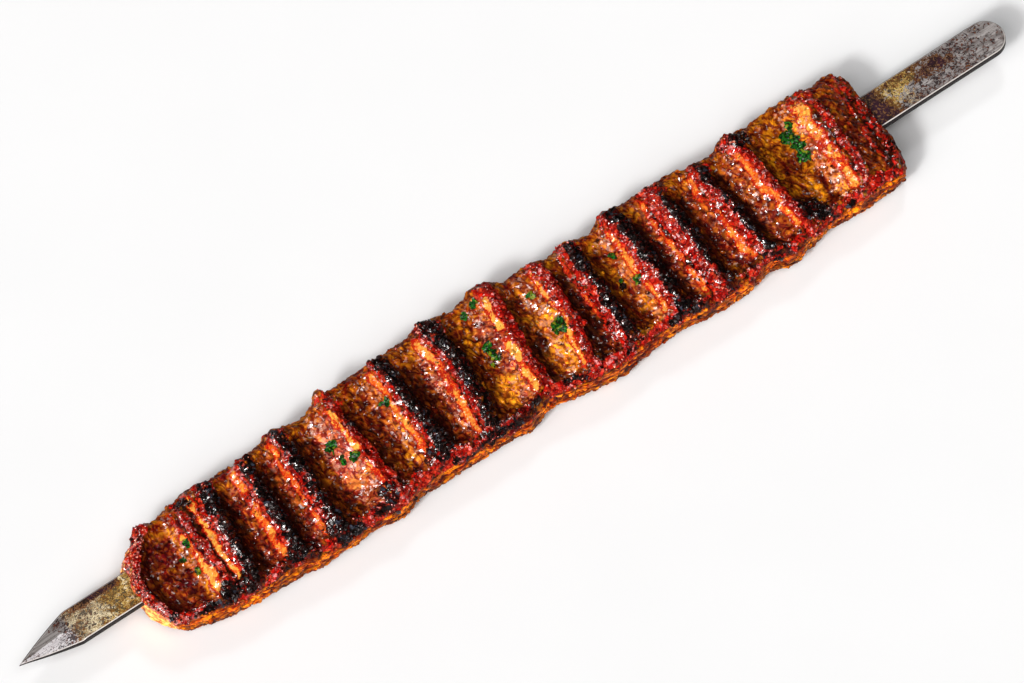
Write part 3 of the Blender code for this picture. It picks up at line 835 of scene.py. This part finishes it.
def herb_material():
    g = Graph("chopped_parsley")
    mid = g.noise(0.9, 2, 0.6)
    wide = g.noise(2.2, 1, 0.5)
    leaf = g.blend(g.band(mid, 0.42, 0.62), srgb(1, 10, 2), srgb(12, 86, 10))
    leaf = g.blend(g.calc("MULTIPLY", g.band(g.noise(0.7, 1, 0.5), 0.60, 0.68), 0.7), leaf, srgb(40, 150, 32))
    leaf = g.blend(g.calc("MULTIPLY", g.band(wide, 0.58, 0.66), 0.6), leaf, srgb(150, 150, 22))
    leaf = g.blend(g.calc("MULTIPLY", g.value("vein"), 0.5), leaf, srgb(60, 120, 24))
    g.set("Base Color", leaf)
    g.set("Roughness", g.band(mid, 0.35, 0.65, 0.35, 0.55))
    g.set("Specular IOR Level", 0.2)
    g.set("Coat Weight", 0.35)
    g.set("Coat Roughness", 0.2)
    g.set("Coat IOR", 1.35)
    g.set("Normal", g.bump(g.noise(0.35, 3, 0.6), 0.7, 0.15))
    return g.material


def steel_material():
    g = Graph("stained_steel")
    centred = lambda v, k: g.calc("MULTIPLY", g.calc("SUBTRACT", v, 0.5), k)
    times = lambda a, b: g.calc("MULTIPLY", a, b)
    add = lambda *terms: terms[0] if len(terms) == 1 else g.calc("ADD", terms[0], add(*terms[1:]))
    speckle = g.noise(1.0, 2, 0.6, 1.0)
    swirl = g.noise(2.0, 2, 0.6, 2.0)
    blot = g.noise(5.5, 2, 0.55, 0.8)
    brushed = g.noise(0.9, 3, 0.6, 0.0, (0.08, 1.5, 1.0))
    # Fine curling marks where two shades of the same noise meet.
    curl = g.calc("ABSOLUTE", g.calc("SUBTRACT", g.noise(1.9, 1, 0.5, 2.2), 0.5))
    metal = g.blend(g.band(brushed, 0.36, 0.64), srgb(118, 112, 110), srgb(156, 151, 149))
    metal = g.blend(g.band(blot, 0.42, 0.60, 0.0, 0.5), metal, srgb(88, 82, 80))
    # Painted highlight on the lower ground facet of the point.
    bevel_highlight = g.band(add(g.value("bright"), centred(swirl, 0.7)), 0.25, 0.55)
    metal = g.blend(bevel_highlight, metal, g.blend(g.band(brushed, 0.36, 0.64), srgb(190, 184, 188), srgb(230, 226, 228)))
    # Grease: pale where it is thin, amber where it has baked on.
    pale = g.blend(g.band(speckle, 0.35, 0.53), srgb(142, 118, 80), srgb(232, 217, 180))
    metal = g.blend(g.band(add(g.value("pale"), centred(swirl, 0.8)), 0.3, 0.6), metal, pale)
    film = add(g.value("fat"), centred(blot, 1.2), centred(swirl, 1.4))
    baked = g.blend(g.band(speckle, 0.36, 0.54), srgb(132, 84, 14), srgb(226, 194, 98))
    metal = g.blend(times(g.band(film, 0.42, 0.66), 0.9), metal, baked)
    # Rust and pits.
    amount = times(g.value("speck"), 0.19)
    pits = g.band(add(speckle, amount, centred(blot, 0.35)), 0.66, 0.69)
    worms = times(g.band(curl, 0.035, 0.018), g.band(add(blot, centred(speckle, 0.8), amount), 0.56, 0.64))
    rust = g.blend(g.band(swirl, 0.46, 0.62), srgb(30, 10, 14), srgb(96, 42, 12))
    metal = g.blend(times(g.calc("MAXIMUM", pits, worms), 0.9), metal, rust)
    burnt = add(g.value("burnt"), centred(swirl, 1.5), centred(speckle, 0.6))
    metal = g.blend(times(g.band(burnt, 0.30, 0.48), 0.85), metal, g.blend(g.value("pale"), srgb(88, 50, 10), srgb(126, 66, 16)))
    metal = g.blend(g.band(burnt, 0.50, 0.66), metal, g.blend(g.band(blot, 0.4, 0.6), srgb(28, 10, 7), srgb(46, 17, 32)))
    metal = g.blend(times(g.band(burnt, 0.50, 0.66), g.band(speckle, 0.56, 0.62)), metal, srgb(112, 76, 44))
    # Painted highlight along the top of the edge, then painted shade on its outer rounding and underneath.
    metal = g.blend(g.value("edge"), metal, srgb(228, 222, 218))
    metal = g.blend(g.band(add(g.value("edge_shade"), centred(swirl, 0.35)), 0.35, 0.7), metal, srgb(20, 8, 9))
    g.set("Base Color", metal)
    dirt_and_edge_shade = g.calc("MAXIMUM", g.band(film, 0.42, 0.66, 0.0, 0.6), g.calc("MAXIMUM", g.band(burnt, 0.3, 0.5), g.value("edge_shade")))
    g.set("Metallic", times(g.calc("SUBTRACT", 1.0, g.calc("MAXIMUM", dirt_and_edge_shade, times(g.value("pale"), 0.7)), clamp=True), 0.4))
    g.set("Roughness", g.calc("ADD", g.band(swirl, 0.35, 0.65, 0.34, 0.5), times(dirt_and_edge_shade, 0.1)))
    g.set("Specular IOR Level", 0.2)
    height = add(times(brushed, 0.3), times(swirl, 0.5), times(pits, -0.6), times(worms, -0.5), times(g.band(burnt, 0.4, 0.6), 0.5))
    g.set("Normal", g.bump(height, 0.5, 0.14))
    return g.material


def floor_material():
    g = Graph("pale_floor")
    soft = g.noise(60.0, 2, 0.5)
    g.set("Base Color", g.blend(soft, (0.815, 0.83, 0.845), (0.845, 0.86, 0.875)))
    g.set("Roughness", 0.75)
    g.set("Specular IOR Level", 0.2)
    return g.material


# --------------------------------------------------------------------- the bar
def bar_plan():
    """Plan outline of the bar, anticlockwise from the tip, closely spaced."""
    half, r, narrow = BAR_LENGTH / 2, BAR_WIDTH / 2, BAR_WIDTH_POINT / 2
    shoulder = -half + POINT_LENGTH
    s = np.linspace(0, 1, 22)
    lower_taper = np.stack([-half + POINT_LENGTH * s, POINT_SIDE * (1 - s) - narrow * s - POINT_BULGE * 4 * s * (1 - s)], -1)
    t = np.linspace(0, 1, 290)[1:-1]
    lower = np.stack([mix(shoulder, half - r, t), -mix(narrow, r, t)], -1)
    turn = np.linspace(-math.pi / 2, math.pi / 2, 44)
    arc = np.stack([half - r + r * np.cos(turn), r * np.sin(turn)], -1)
    upper = np.stack([lower[::-1, 0], -lower[::-1, 1]], -1)
    upper_taper = np.stack([-half + POINT_LENGTH * s, POINT_SIDE * (1 - s) + narrow * s + POINT_BULGE * 4 * s * (1 - s)], -1)[::-1][:-1]
    return np.concatenate([lower_taper, lower, arc, upper, upper_taper])


def bar_half_width(x):
    half, r, narrow = BAR_LENGTH / 2, BAR_WIDTH / 2, BAR_WIDTH_POINT / 2
    e = np.clip((x + half) / POINT_LENGTH, 0, 1)
    taper = narrow * e + POINT_BULGE * 4 * e * (1 - e)
    body = mix(narrow, r, np.clip((x + half - POINT_LENGTH) / (BAR_LENGTH - POINT_LENGTH - r), 0, 1))
    return np.where(e < 1, taper, body)


def inset(plan, distance):
    """The outline moved inward: less near the tip, where the bar is thin."""
    before, after = np.roll(plan, 1, 0), np.roll(plan, -1, 0)
    m = after - before
    m = np.stack([-m[:, 1], m[:, 0]], -1)
    m /= np.linalg.norm(m, axis=1, keepdims=True)
    room = np.clip(bar_half_width(plan[:, 0]) / 1.4, 0.0, 1.0)
    return plan + m * (distance * room)[:, None]


def toward_middle(plan, part):
    """The outline drawn in to the bar's middle line, all the way at part 1."""
    half, r = BAR_LENGTH / 2, BAR_WIDTH / 2
    e = np.clip((plan[:, 0] + half) / POINT_LENGTH, 0, 1)
    middle = np.stack([np.minimum(plan[:, 0], half - r), POINT_SIDE * (1 - e)], -1)
    return mix(plan, middle, part)


def top_level(x, y):
    """Height of the bar's top over its middle plane: flat, with two ground bevels at the point."""
    half, half_t = BAR_LENGTH / 2, BAR_THICK / 2
    s = np.clip((x + half) / POINT_RIDGE, 0, 1)
    e = np.clip((x + half) / POINT_LENGTH, 0, 1)
    tip = -half_t + POINT_TIP_HEIGHT
    ridge = mix(tip, half_t, s)
    edge = mix(tip, half_t - BAR_EDGE, e)
    width = np.maximum(0.05, BAR_WIDTH_POINT / 2 * e + POINT_BULGE * 4 * e * (1 - e))
    out = np.clip(np.abs(y - POINT_SIDE * (1 - e)) / width, 0, 1)
    bevel = mix(ridge, edge, out)
    return np.where(x < -half + POINT_RIDGE, bevel, half_t)


def make_bar(shift_y):
    plan = bar_plan()
    half_t, steps = BAR_THICK / 2, 5
    parts = (1.0, 0.82, 0.64, 0.46, 0.3, 0.17, 0.08)
    rings = []   # plan, height, distance from the edge, side (-1 underneath, 1 on top)
    flat = inset(plan, BAR_EDGE)
    for part in parts:
        rings.append((toward_middle(flat, part), np.full(len(plan), -half_t), BAR_EDGE + part * 6.2, -1.0))
    for k in range(steps + 1):
        turn = math.pi / 2 * k / steps
        d = BAR_EDGE * (1 - math.sin(turn))
        rings.append((inset(plan, d), np.full(len(plan), -half_t + BAR_EDGE * (1 - math.cos(turn))), d, -0.5))
    for k in range(steps + 1):
        turn = math.pi / 2 * (1 - k / steps)
        d = BAR_EDGE * (1 - math.sin(turn))
        ring = inset(plan, d)
        top = top_level(ring[:, 0], ring[:, 1])
        # Near the tip the ground edge is thinner than the rounding, which shrinks to fit.
        room = np.clip((top + half_t - 0.5) / (BAR_THICK - 0.5), 0.04, 1)
        ground = smooth(-BAR_LENGTH / 2 + POINT_RIDGE + 1, -BAR_LENGTH / 2 + POINT_RIDGE - 3, ring[:, 0])
        rings.append((ring, top - BAR_EDGE * (1 - math.cos(turn)) * room * mix(1.0, 0.5, ground), d, 0.5))
    for part in parts[::-1]:
        ring = toward_middle(flat, part)
        rings.append((ring, top_level(ring[:, 0], ring[:, 1]), BAR_EDGE + part * 6.2, 1.0))
    points = np.array([np.stack([ring[:, 0], ring[:, 1] + BAR_SIDE, rise + BAR_LEVEL], -1) for ring, rise, _, _ in rings])
    inward = np.repeat([d for _, _, d, _ in rings], len(plan)).astype(float)
    where = np.repeat([side for _, _, _, side in rings], len(plan)).astype(float)
    rows, around = points.shape[:2]
    verts = points.reshape(-1, 3)
    faces = facing_out(verts, grid_faces(rows, around, False))
    obj = mesh_object("skewer_bar_stained", verts, faces, steel_material(), shift_y)

    x, y = verts[:, 0], verts[:, 1] - BAR_SIDE
    d, side = inward, where
    values = bar_stains(x, y, d, side)
    for name, value in values.items():
        add_value(obj, name, value)
    bm = bmesh.new()
    bm.from_mesh(obj.data)
    bmesh.ops.remove_doubles(bm, verts=bm.verts, dist=2e-6)
    bmesh.ops.dissolve_degenerate(bm, edges=bm.edges, dist=1e-6)
    bmesh.ops.recalc_face_normals(bm, faces=bm.faces)
    bm.to_mesh(obj.data)
    bm.free()
    obj.data.shade_smooth()
    obj.data.set_sharp_from_angle(angle=math.radians(20))
    return obj


# Burnt spots on the handle: x, y from its middle, radius, strength.
BURNT_SPOTS = ((169.6, 1.6, 3.0, 0.85), (174.6, 2.2, 3.6, 0.95), (179.0, 0.8, 2.4, 0.75), (165.6, 0.8, 2.2, 0.6))


def bar_stains(x, y, d, side):
    """Where heat and fat have marked the bar, for points given from its middle; it also gives a painted highlight and
    painted shade along the edges and a painted highlight on the lower ground bevel of the point.
    """
    left, right = x < -140, x > 135
    pale = np.where(left, 0.72 * smooth(-186, -178, x), 0.0)
    pale = np.where(right, 0.08 + 0.34 * hump(x - 160, 8.0) * smooth(3.5, -1.5, y), pale)
    fat = np.where(left, 0.26 + 0.46 * smooth(-174, -158, x) + 0.12 * smooth(-2, -5, y), 0.0) * smooth(-190, -180, x)
    fat = np.where(right, 0.10 + 0.66 * smooth(176, 162, x) * smooth(-6.0, 1.5, y + 0.55 * (159 - x)), fat)
    burnt = np.where(left, 0.86 * hump(y - 5.2, 3.2) * smooth(-181, -172, x) * smooth(-154.5, -158, x), 0.0)
    burnt = np.maximum(burnt, np.where(left, 0.36 * hump(y + 5.4, 3.0) * smooth(-174, -160, x), 0))
    burnt = np.maximum(burnt, np.where(right, 1.3 * smooth(160.0, 143.0, x + 0.2 * y), 0))
    burnt = np.maximum(burnt, np.where(right, 0.46 * hump(y - 5.2, 4.0) * smooth(180, 171, x), 0))
    for spot_x, spot_y, radius, strength in BURNT_SPOTS:
        burnt = np.maximum(burnt, strength * smooth(1.4, 0.2, np.hypot(x - spot_x, y - spot_y) / radius))
    speck = np.where(left, 0.25 + 0.65 * smooth(-190, -177, x), np.where(right, 0.45 * smooth(197, 180, x) + 0.35, 0.2))
    # Painted highlight: a pale line along the top of the rounded edge, stronger on the -Y side.
    line = np.where(y < 0, 0.9, 0.5)
    edge = np.where((d > 0.05) & (d < 0.42) & (side > 0), line, 0.0)
    edge = np.where((side > 0) & (y > 0), np.where((d > 0.3) & (d < 0.42), 0.55, 0.0), edge)
    # Painted shade: the outer rounding of the edge and the underside are dark.
    edge_shade = np.where((np.abs(side) < 0.8) & (d < np.where(y > 0, 0.24, 0.12)), 1.0, 0.0)
    edge_shade = np.where((side < 0), 1.0, edge_shade)
    edge_shade = np.where(side < -0.8, 0.55, edge_shade)
    ground = smooth(-BAR_LENGTH / 2 + POINT_RIDGE + 3, -BAR_LENGTH / 2 + POINT_RIDGE - 8, x)
    e = np.clip((x + BAR_LENGTH / 2) / POINT_LENGTH, 0, 1)
    below = smooth(0.25, -0.25, y - POINT_SIDE * (1 - e))
    # Painted highlight: the lower ground facet of the point is lighter than the upper one.
    bright = ground * mix(0.10, 1.0, below) * (side > 0)
    fat = fat * (1 - 0.7 * ground)
    return {"fat": fat, "burnt": burnt, "speck": speck, "edge": edge, "edge_shade": edge_shade, "bright": bright, "pale": pale * (1 - ground)}


# ------------------------------------------------------------- scattered pieces
def blob(level_of_detail):
    bm = bmesh.new()
    bmesh.ops.create_icosphere(bm, subdivisions=level_of_detail, radius=1.0)
    verts = np.array([v.co[:] for v in bm.verts])
    faces = np.array([[v.index for v in f.verts] for f in bm.faces])
    bm.free()
    return verts, faces


def turned(rng, count):
    """Random rotations, as (count, 3, 3)."""
    q = rng.normal(size=(count, 4))
    q /= np.linalg.norm(q, axis=1, keepdims=True)
    w, x, y, z = q.T
    return np.stack([
        np.stack([1 - 2 * (y * y + z * z), 2 * (x * y - w * z), 2 * (x * z + w * y)], -1),
        np.stack([2 * (x * y + w * z), 1 - 2 * (x * x + z * z), 2 * (y * z - w * x)], -1),
        np.stack([2 * (x * z - w * y), 2 * (y * z + w * x), 1 - 2 * (x * x + y * y)], -1),
    ], 1)


def scattered(rng, centres, normals, radius, bury, uneven, squash, seed):
    """Lumpy blobs set into the surface: (verts, faces, owner of each vertex)."""
    base, faces = blob(2 if squash < 0 else 1)
    count = len(centres)
    stretch = 1 + uneven * rng.uniform(-1, 1, (count, 3))
    spin = turned(rng, count)
    shape = base[None] * stretch[:, None, :]
    bumpy = 1 + 0.38 * clouds(shape * 1.9 + np.arange(count)[:, None, None] * 7.3, 1.0, seed)
    shape = shape * bumpy[..., None]
    shape = np.einsum("nij,nkj->nki", spin, shape) * radius[:, None, None]
    # Pressed a little along the surface normal.
    along = np.einsum("nki,ni->nk", shape, normals)
    shape -= along[..., None] * normals[:, None, :] * abs(squash)
    verts = centres[:, None, :] - normals[:, None, :] * (radius * bury)[:, None, None] + shape
    all_faces = (faces[None] + np.arange(count)[:, None, None] * len(base)).reshape(-1, 3)
    owner = np.repeat(np.arange(count), len(base))
    return verts.reshape(-1, 3), all_faces, owner


def pick(rng, weight, count):
    flat = weight.ravel() / weight.sum()
    return rng.choice(flat.size, size=count, replace=False, p=flat)


def make_grains(s, normals, area, material, shift_y):
    rng = np.random.default_rng(7)
    weight = area * (0.35 + 1.1 * s["red"] + 0.8 * s["char"] + 0.7 * (s["lift"] < 0.6) + 0.5 * s["lip"]) * (1 - s["bottom"]) * (s["lift"] > -0.8)
    weight = weight * (1 - 0.75 * s["slope"]) + 1e-12
    at = pick(rng, weight, 1700)
    p, n = s["points"].reshape(-1, 3)[at], normals.reshape(-1, 3)[at]
    radius = rng.uniform(0.42, 0.95, len(at))
    verts, faces, owner = scattered(rng, p, n, radius, 0.35, 0.28, 0.25, 71)
    verts[:, 2] = np.maximum(0.02, verts[:, 2])
    obj = mesh_object("mince_grains", verts, faces, material, shift_y)
    flat = lambda name: s[name].ravel()[at]
    tint = s["tint"].reshape(-1, 3)[at] * rng.uniform(0.75, 1.25, (len(at), 1))
    add_colour(obj, "tint", tint[owner])
    for name in ("char", "red", "line", "slope", "yellow", "side", "gloss"):
        add_value(obj, name, flat(name)[owner])
    return obj


def make_crumbs(s, normals, area, shift_y):
    rng = np.random.default_rng(8)
    weight = area * np.clip(s["char"] - 0.35, 0, 1) ** 1.5 + 1e-15
    at = pick(rng, weight, 620)
    p, n = s["points"].reshape(-1, 3)[at], normals.reshape(-1, 3)[at]
    radius = rng.uniform(0.35, 0.95, len(at)) ** 1.2
    verts, faces, owner = scattered(rng, p, n, radius, 0.25, 0.4, 0.2, 81)
    return mesh_object("char_crumbs", verts, faces, char_material(), shift_y, 40)


def make_beads(s, normals, area, shift_y):
    rng = np.random.default_rng(9)
    # More beads on the point's rim, for more painted glints there.
    weight = area * (0.03 + 0.8 * s["slope"] + 1.0 * s["red"] + 0.35 * s["line"]) * np.clip(1.15 - s["char"], 0.12, 1) * (s["lift"] > 0.1) * (1 - s["bottom"]) * np.clip(1 + 0.7 * s["pit"], 0.1, 2) * (1 + 2.5 * smooth(-144, -148, s["place"])) + 1e-15
    at = pick(rng, weight, 1100)
    p, n = s["points"].reshape(-1, 3)[at], normals.reshape(-1, 3)[at]
    radius = rng.uniform(0.16, 0.42, len(at))
    verts, faces, owner = scattered(rng, p, n, radius, 0.15, 0.5, 0.35, 91)
    return mesh_object("juice_beads", verts, faces, bead_material(), shift_y)


# x, y, size, leaflets of each cluster of chopped parsley.
HERBS = (
    (-132.3, 2.5, 1.9, 3), (-135.0, -7.6, 1.9, 3), (-72.2, 4.4, 3.2, 7), (-72.4, -1.7, 2.1, 3),
    (-69.0, -4.6, 3.0, 6), (-48.9, 7.6, 2.2, 4), (-8.9, 17.4, 2.2, 4), (-4.2, 19.2, 2.2, 4),
    (-9.7, 3.7, 3.0, 6), (-9.4, 0.0, 2.2, 4), (13.9, 10.9, 2.2, 4), (12.9, -4.3, 4.2, 9),
    (43.7, 8.0, 2.0, 3), (44.7, -4.6, 2.4, 4), (117.8, 10.2, 4.0, 8), (118.2, 7.2, 3.4, 6),
    (117.8, 4.0, 3.4, 6), (117.4, 0.4, 3.6, 7), (116.0, 8.8, 2.2, 3), (-12.0, -2.5, 1.4, 2),
    (40.5, -1.5, 1.3, 2), (-136.5, -1.0, 1.3, 2),
)


def leaflet(rng, size):
    """A small torn, curled leaf: (verts, faces, vein values), lying near z = 0."""
    rays, rows = 15, 4
    lobes = rng.integers(3, 5)
    phase = rng.uniform(0, 2 * math.pi)
    theta = 2 * math.pi * np.arange(rays) / rays
    edge = 1 + 0.16 * np.cos(lobes * theta + phase) + 0.14 * rng.uniform(-1, 1, rays)
    verts, vein = [np.zeros(3)], [1.0]
    curl, twist = rng.uniform(-1.1, 0.6), rng.uniform(-0.6, 0.6)
    for row in range(1, rows + 1):
        t = row / rows
        x, y = np.cos(theta) * edge * t * 1.15, np.sin(theta) * edge * t * 0.8
        ruffle = 0.16 * t * t * np.sin(5 * theta + phase * 2) + 0.05 * t * np.cos(9 * theta + phase)
        z = curl * (x * x - 0.4) * 0.5 + twist * x * y + ruffle + 0.2
        verts.extend(np.stack([x, y, z], -1))
        vein.extend(np.clip(0.8 - 6 * np.abs(y / np.maximum(0.3, np.abs(x) + 0.3)), 0, 1) * (1 - 0.4 * t))
    upper = np.array(verts) * size
    lower = upper.copy()
    lower[:, 2] -= 0.42
    lower[:, :2] *= 0.97
    faces = []
    count = len(upper)
    for k in range(rays):
        n = (k + 1) % rays
        faces.append((0, 1 + k, 1 + n))
        for row in range(rows - 1):
            a, b = 1 + row * rays, 1 + (row + 1) * rays
            faces.append((a + k, b + k, b + n))
            faces.append((a + k, b + n, a + n))
    faces = np.array(faces)
    under = faces[:, ::-1] + count
    rim = []
    last = 1 + (rows - 1) * rays
    for k in range(rays):
        n = (k + 1) % rays
        rim.append((last + k, count + last + k, count + last + n))
        rim.append((last + k, count + last + n, last + n))
    return np.concatenate([upper, lower]), np.concatenate([faces, under, np.array(rim)]), np.array(vein + vein)


def make_herbs(s, normals, shift_y):
    rng = np.random.default_rng(12)
    flat, flat_n = s["points"].reshape(-1, 3), normals.reshape(-1, 3)
    usable = s["lift"].ravel() > 0.4
    all_verts, all_faces, all_vein, used = [], [], [], 0
    for x, y, size, leaves in HERBS:
        for k in range(leaves):
            spread = size * 0.36
            px, py = x + rng.normal() * spread * 0.52, y - shift_y + rng.normal() * spread * 0.7
            d = np.hypot(flat[:, 0] - px, flat[:, 1] - py) + np.where(usable, 0, 100)
            at = int(np.argmin(d))
            n = flat_n[at] + rng.normal(size=3) * 0.35
            n /= np.linalg.norm(n)
            side = np.cross(n, rng.normal(size=3))
            side /= np.linalg.norm(side)
            third = np.cross(n, side)
            verts, faces, vein = leaflet(rng, rng.uniform(0.8, 1.2) * (0.66 + 0.21 * size))
            placed = flat[at] + verts @ np.stack([side, third, n]) + flat_n[at] * (0.25 + 0.22 * k * (size > 2.5) / 3)
            all_verts.append(placed)
            all_faces.append(faces + used)
            all_vein.append(vein)
            used += len(placed)
    obj = mesh_object("parsley_flecks", np.concatenate(all_verts), np.concatenate(all_faces), herb_material(), shift_y, 55)
    add_value(obj, "vein", np.concatenate(all_vein) * 0.5)
    return obj


# ------------------------------------------------------------------------ stage
CAMERA_AZIMUTH, CAMERA_ELEVATION = -36.65, 60.0
LENS, SENSOR = 800.0, 36.0
SCALE = 3059.0   # picture points per metre at the object
ORIGIN_AT = (518.3, 366.3)  # where the frame's origin falls in the 1024 x 683 picture
SKY = 0.03


def make_camera():
    a, e = math.radians(CAMERA_AZIMUTH), math.radians(CAMERA_ELEVATION)
    back = Vector((math.sin(a) * math.cos(e), -math.cos(a) * math.cos(e), math.sin(e)))
    right = Vector((math.cos(a), math.sin(a), 0.0))
    up = back.cross(right)
    distance = 1024 * LENS / (SENSOR * SCALE)
    data = bpy.data.cameras.new("view_camera")
    data.lens, data.sensor_width = LENS, SENSOR
    data.clip_start, data.clip_end = 0.1, 60.0
    cam = bpy.data.objects.new("view_camera", data)
    cam.location = back * distance + right * ((512 - ORIGIN_AT[0]) / SCALE) + up * ((ORIGIN_AT[1] - 341.5) / SCALE)
    cam.rotation_mode = "QUATERNION"
    cam.rotation_quaternion = (-back).to_track_quat("-Z", "Y")
    bpy.context.scene.collection.objects.link(cam)
    bpy.context.scene.camera = cam


def sun(name, azimuth, elevation, strength, spread, colour=(1, 1, 1)):
    """A soft distant lamp. Azimuth 0 stands at -Y and 90 at +X; spread is how wide it looks, in degrees."""
    a, e = math.radians(azimuth), math.radians(elevation)
    out = Vector((math.sin(a) * math.cos(e), -math.cos(a) * math.cos(e), math.sin(e)))
    data = bpy.data.lights.new(name, "SUN")
    data.energy, data.color, data.angle = strength, colour, math.radians(spread)
    lamp = bpy.data.objects.new(name, data)
    lamp.location = out * 3
    lamp.rotation_mode = "QUATERNION"
    lamp.rotation_quaternion = out.to_track_quat("Z", "Y")
    bpy.context.scene.collection.objects.link(lamp)


def make_stage():
    floor_mesh = bpy.data.meshes.new("floor")
    r = 30.0
    floor_mesh.from_pydata([(-r, -r, 0), (r, -r, 0), (r, r, 0), (-r, r, 0)], [], [(0, 1, 2, 3)])
    floor_mesh.materials.append(floor_material())
    floor = bpy.data.objects.new("floor", floor_mesh)
    floor.location.z = -0.0002
    bpy.context.scene.collection.objects.link(floor)

    # A pale cove at the horizon under a dimmer ceiling, so that gloss stays clear.
    world = bpy.data.worlds.new("studio")
    world.use_nodes = True
    tree = world.node_tree
    background = tree.nodes["Background"]
    direction = tree.nodes.new("ShaderNodeTexCoord")
    parts = tree.nodes.new("ShaderNodeSeparateXYZ")
    tree.links.new(direction.outputs["Generated"], parts.inputs[0])
    ramp = tree.nodes.new("ShaderNodeValToRGB")
    tree.links.new(parts.outputs["Z"], ramp.inputs[0])
    ramp.color_ramp.interpolation = "EASE"
    ramp.color_ramp.elements[0].position = 0.03
    ramp.color_ramp.elements[0].color = (0.40, 0.40, 0.40, 1)
    ramp.color_ramp.elements[1].position = 0.22
    ramp.color_ramp.elements[1].color = (SKY, SKY, SKY, 1)
    tree.links.new(ramp.outputs[0], background.inputs["Color"])
    background.inputs["Strength"].default_value = 1.0
    bpy.context.scene.world = world

    # The key is a small bright lamp inside a broad softbox.
    sun("key", -64, 38, 2.0, 10, (1.0, 0.985, 0.96))
    sun("key_softbox", -62, 40, 2.0, 48, (1.0, 0.95, 0.93))
    sun("front", -10, 66, 0.85, 26, (1.0, 0.99, 0.975))
    sun("back", 140, 56, 0.4, 12)
    bpy.context.scene.view_settings.view_transform = "Standard"
    bpy.context.scene.view_settings.look = "None"


def main():
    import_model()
    low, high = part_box("skewer_blade")
    shift_y = (low.y + high.y) / 2 / MM - BAR_SIDE

    make_camera()
    make_stage()

    s = mince_surface()
    s["tint"] = mince_tint(s)
    points = s["points"]
    rings, around = points.shape[:2]
    verts = points.reshape(-1, 3)
    faces = facing_out(verts, grid_faces(rings, around, True))
    material = mince_material()
    meat = mesh_object("kofta_mince", verts, faces, material, shift_y)
    add_colour(meat, "tint", s["tint"].reshape(-1, 3))
    for name in ("char", "red", "line", "slope", "yellow", "side", "gloss"):
        add_value(meat, name, s[name])
    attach(meat, "root")
    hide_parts("kofta_meat")

    bar = make_bar(shift_y)
    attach(bar, "root")
    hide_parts("skewer_blade")

    normals = outward(points)
    middle = rings // 2
    if np.sum(normals[middle, :, 2] * (points[middle, :, 2] - MIDDLE_LEVEL)) < 0:
        normals = -normals
    step_a = np.linalg.norm(np.roll(points, -1, 1) - points, axis=-1)
    step_r = np.linalg.norm(np.gradient(points, axis=0), axis=-1)
    area = step_a * step_r
    for piece in (
        make_grains(s, normals, area, material, shift_y),
        make_crumbs(s, normals, area, shift_y),
        make_beads(s, normals, area, shift_y),
        make_herbs(s, normals, shift_y),
    ):
        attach(piece, "root")


main()
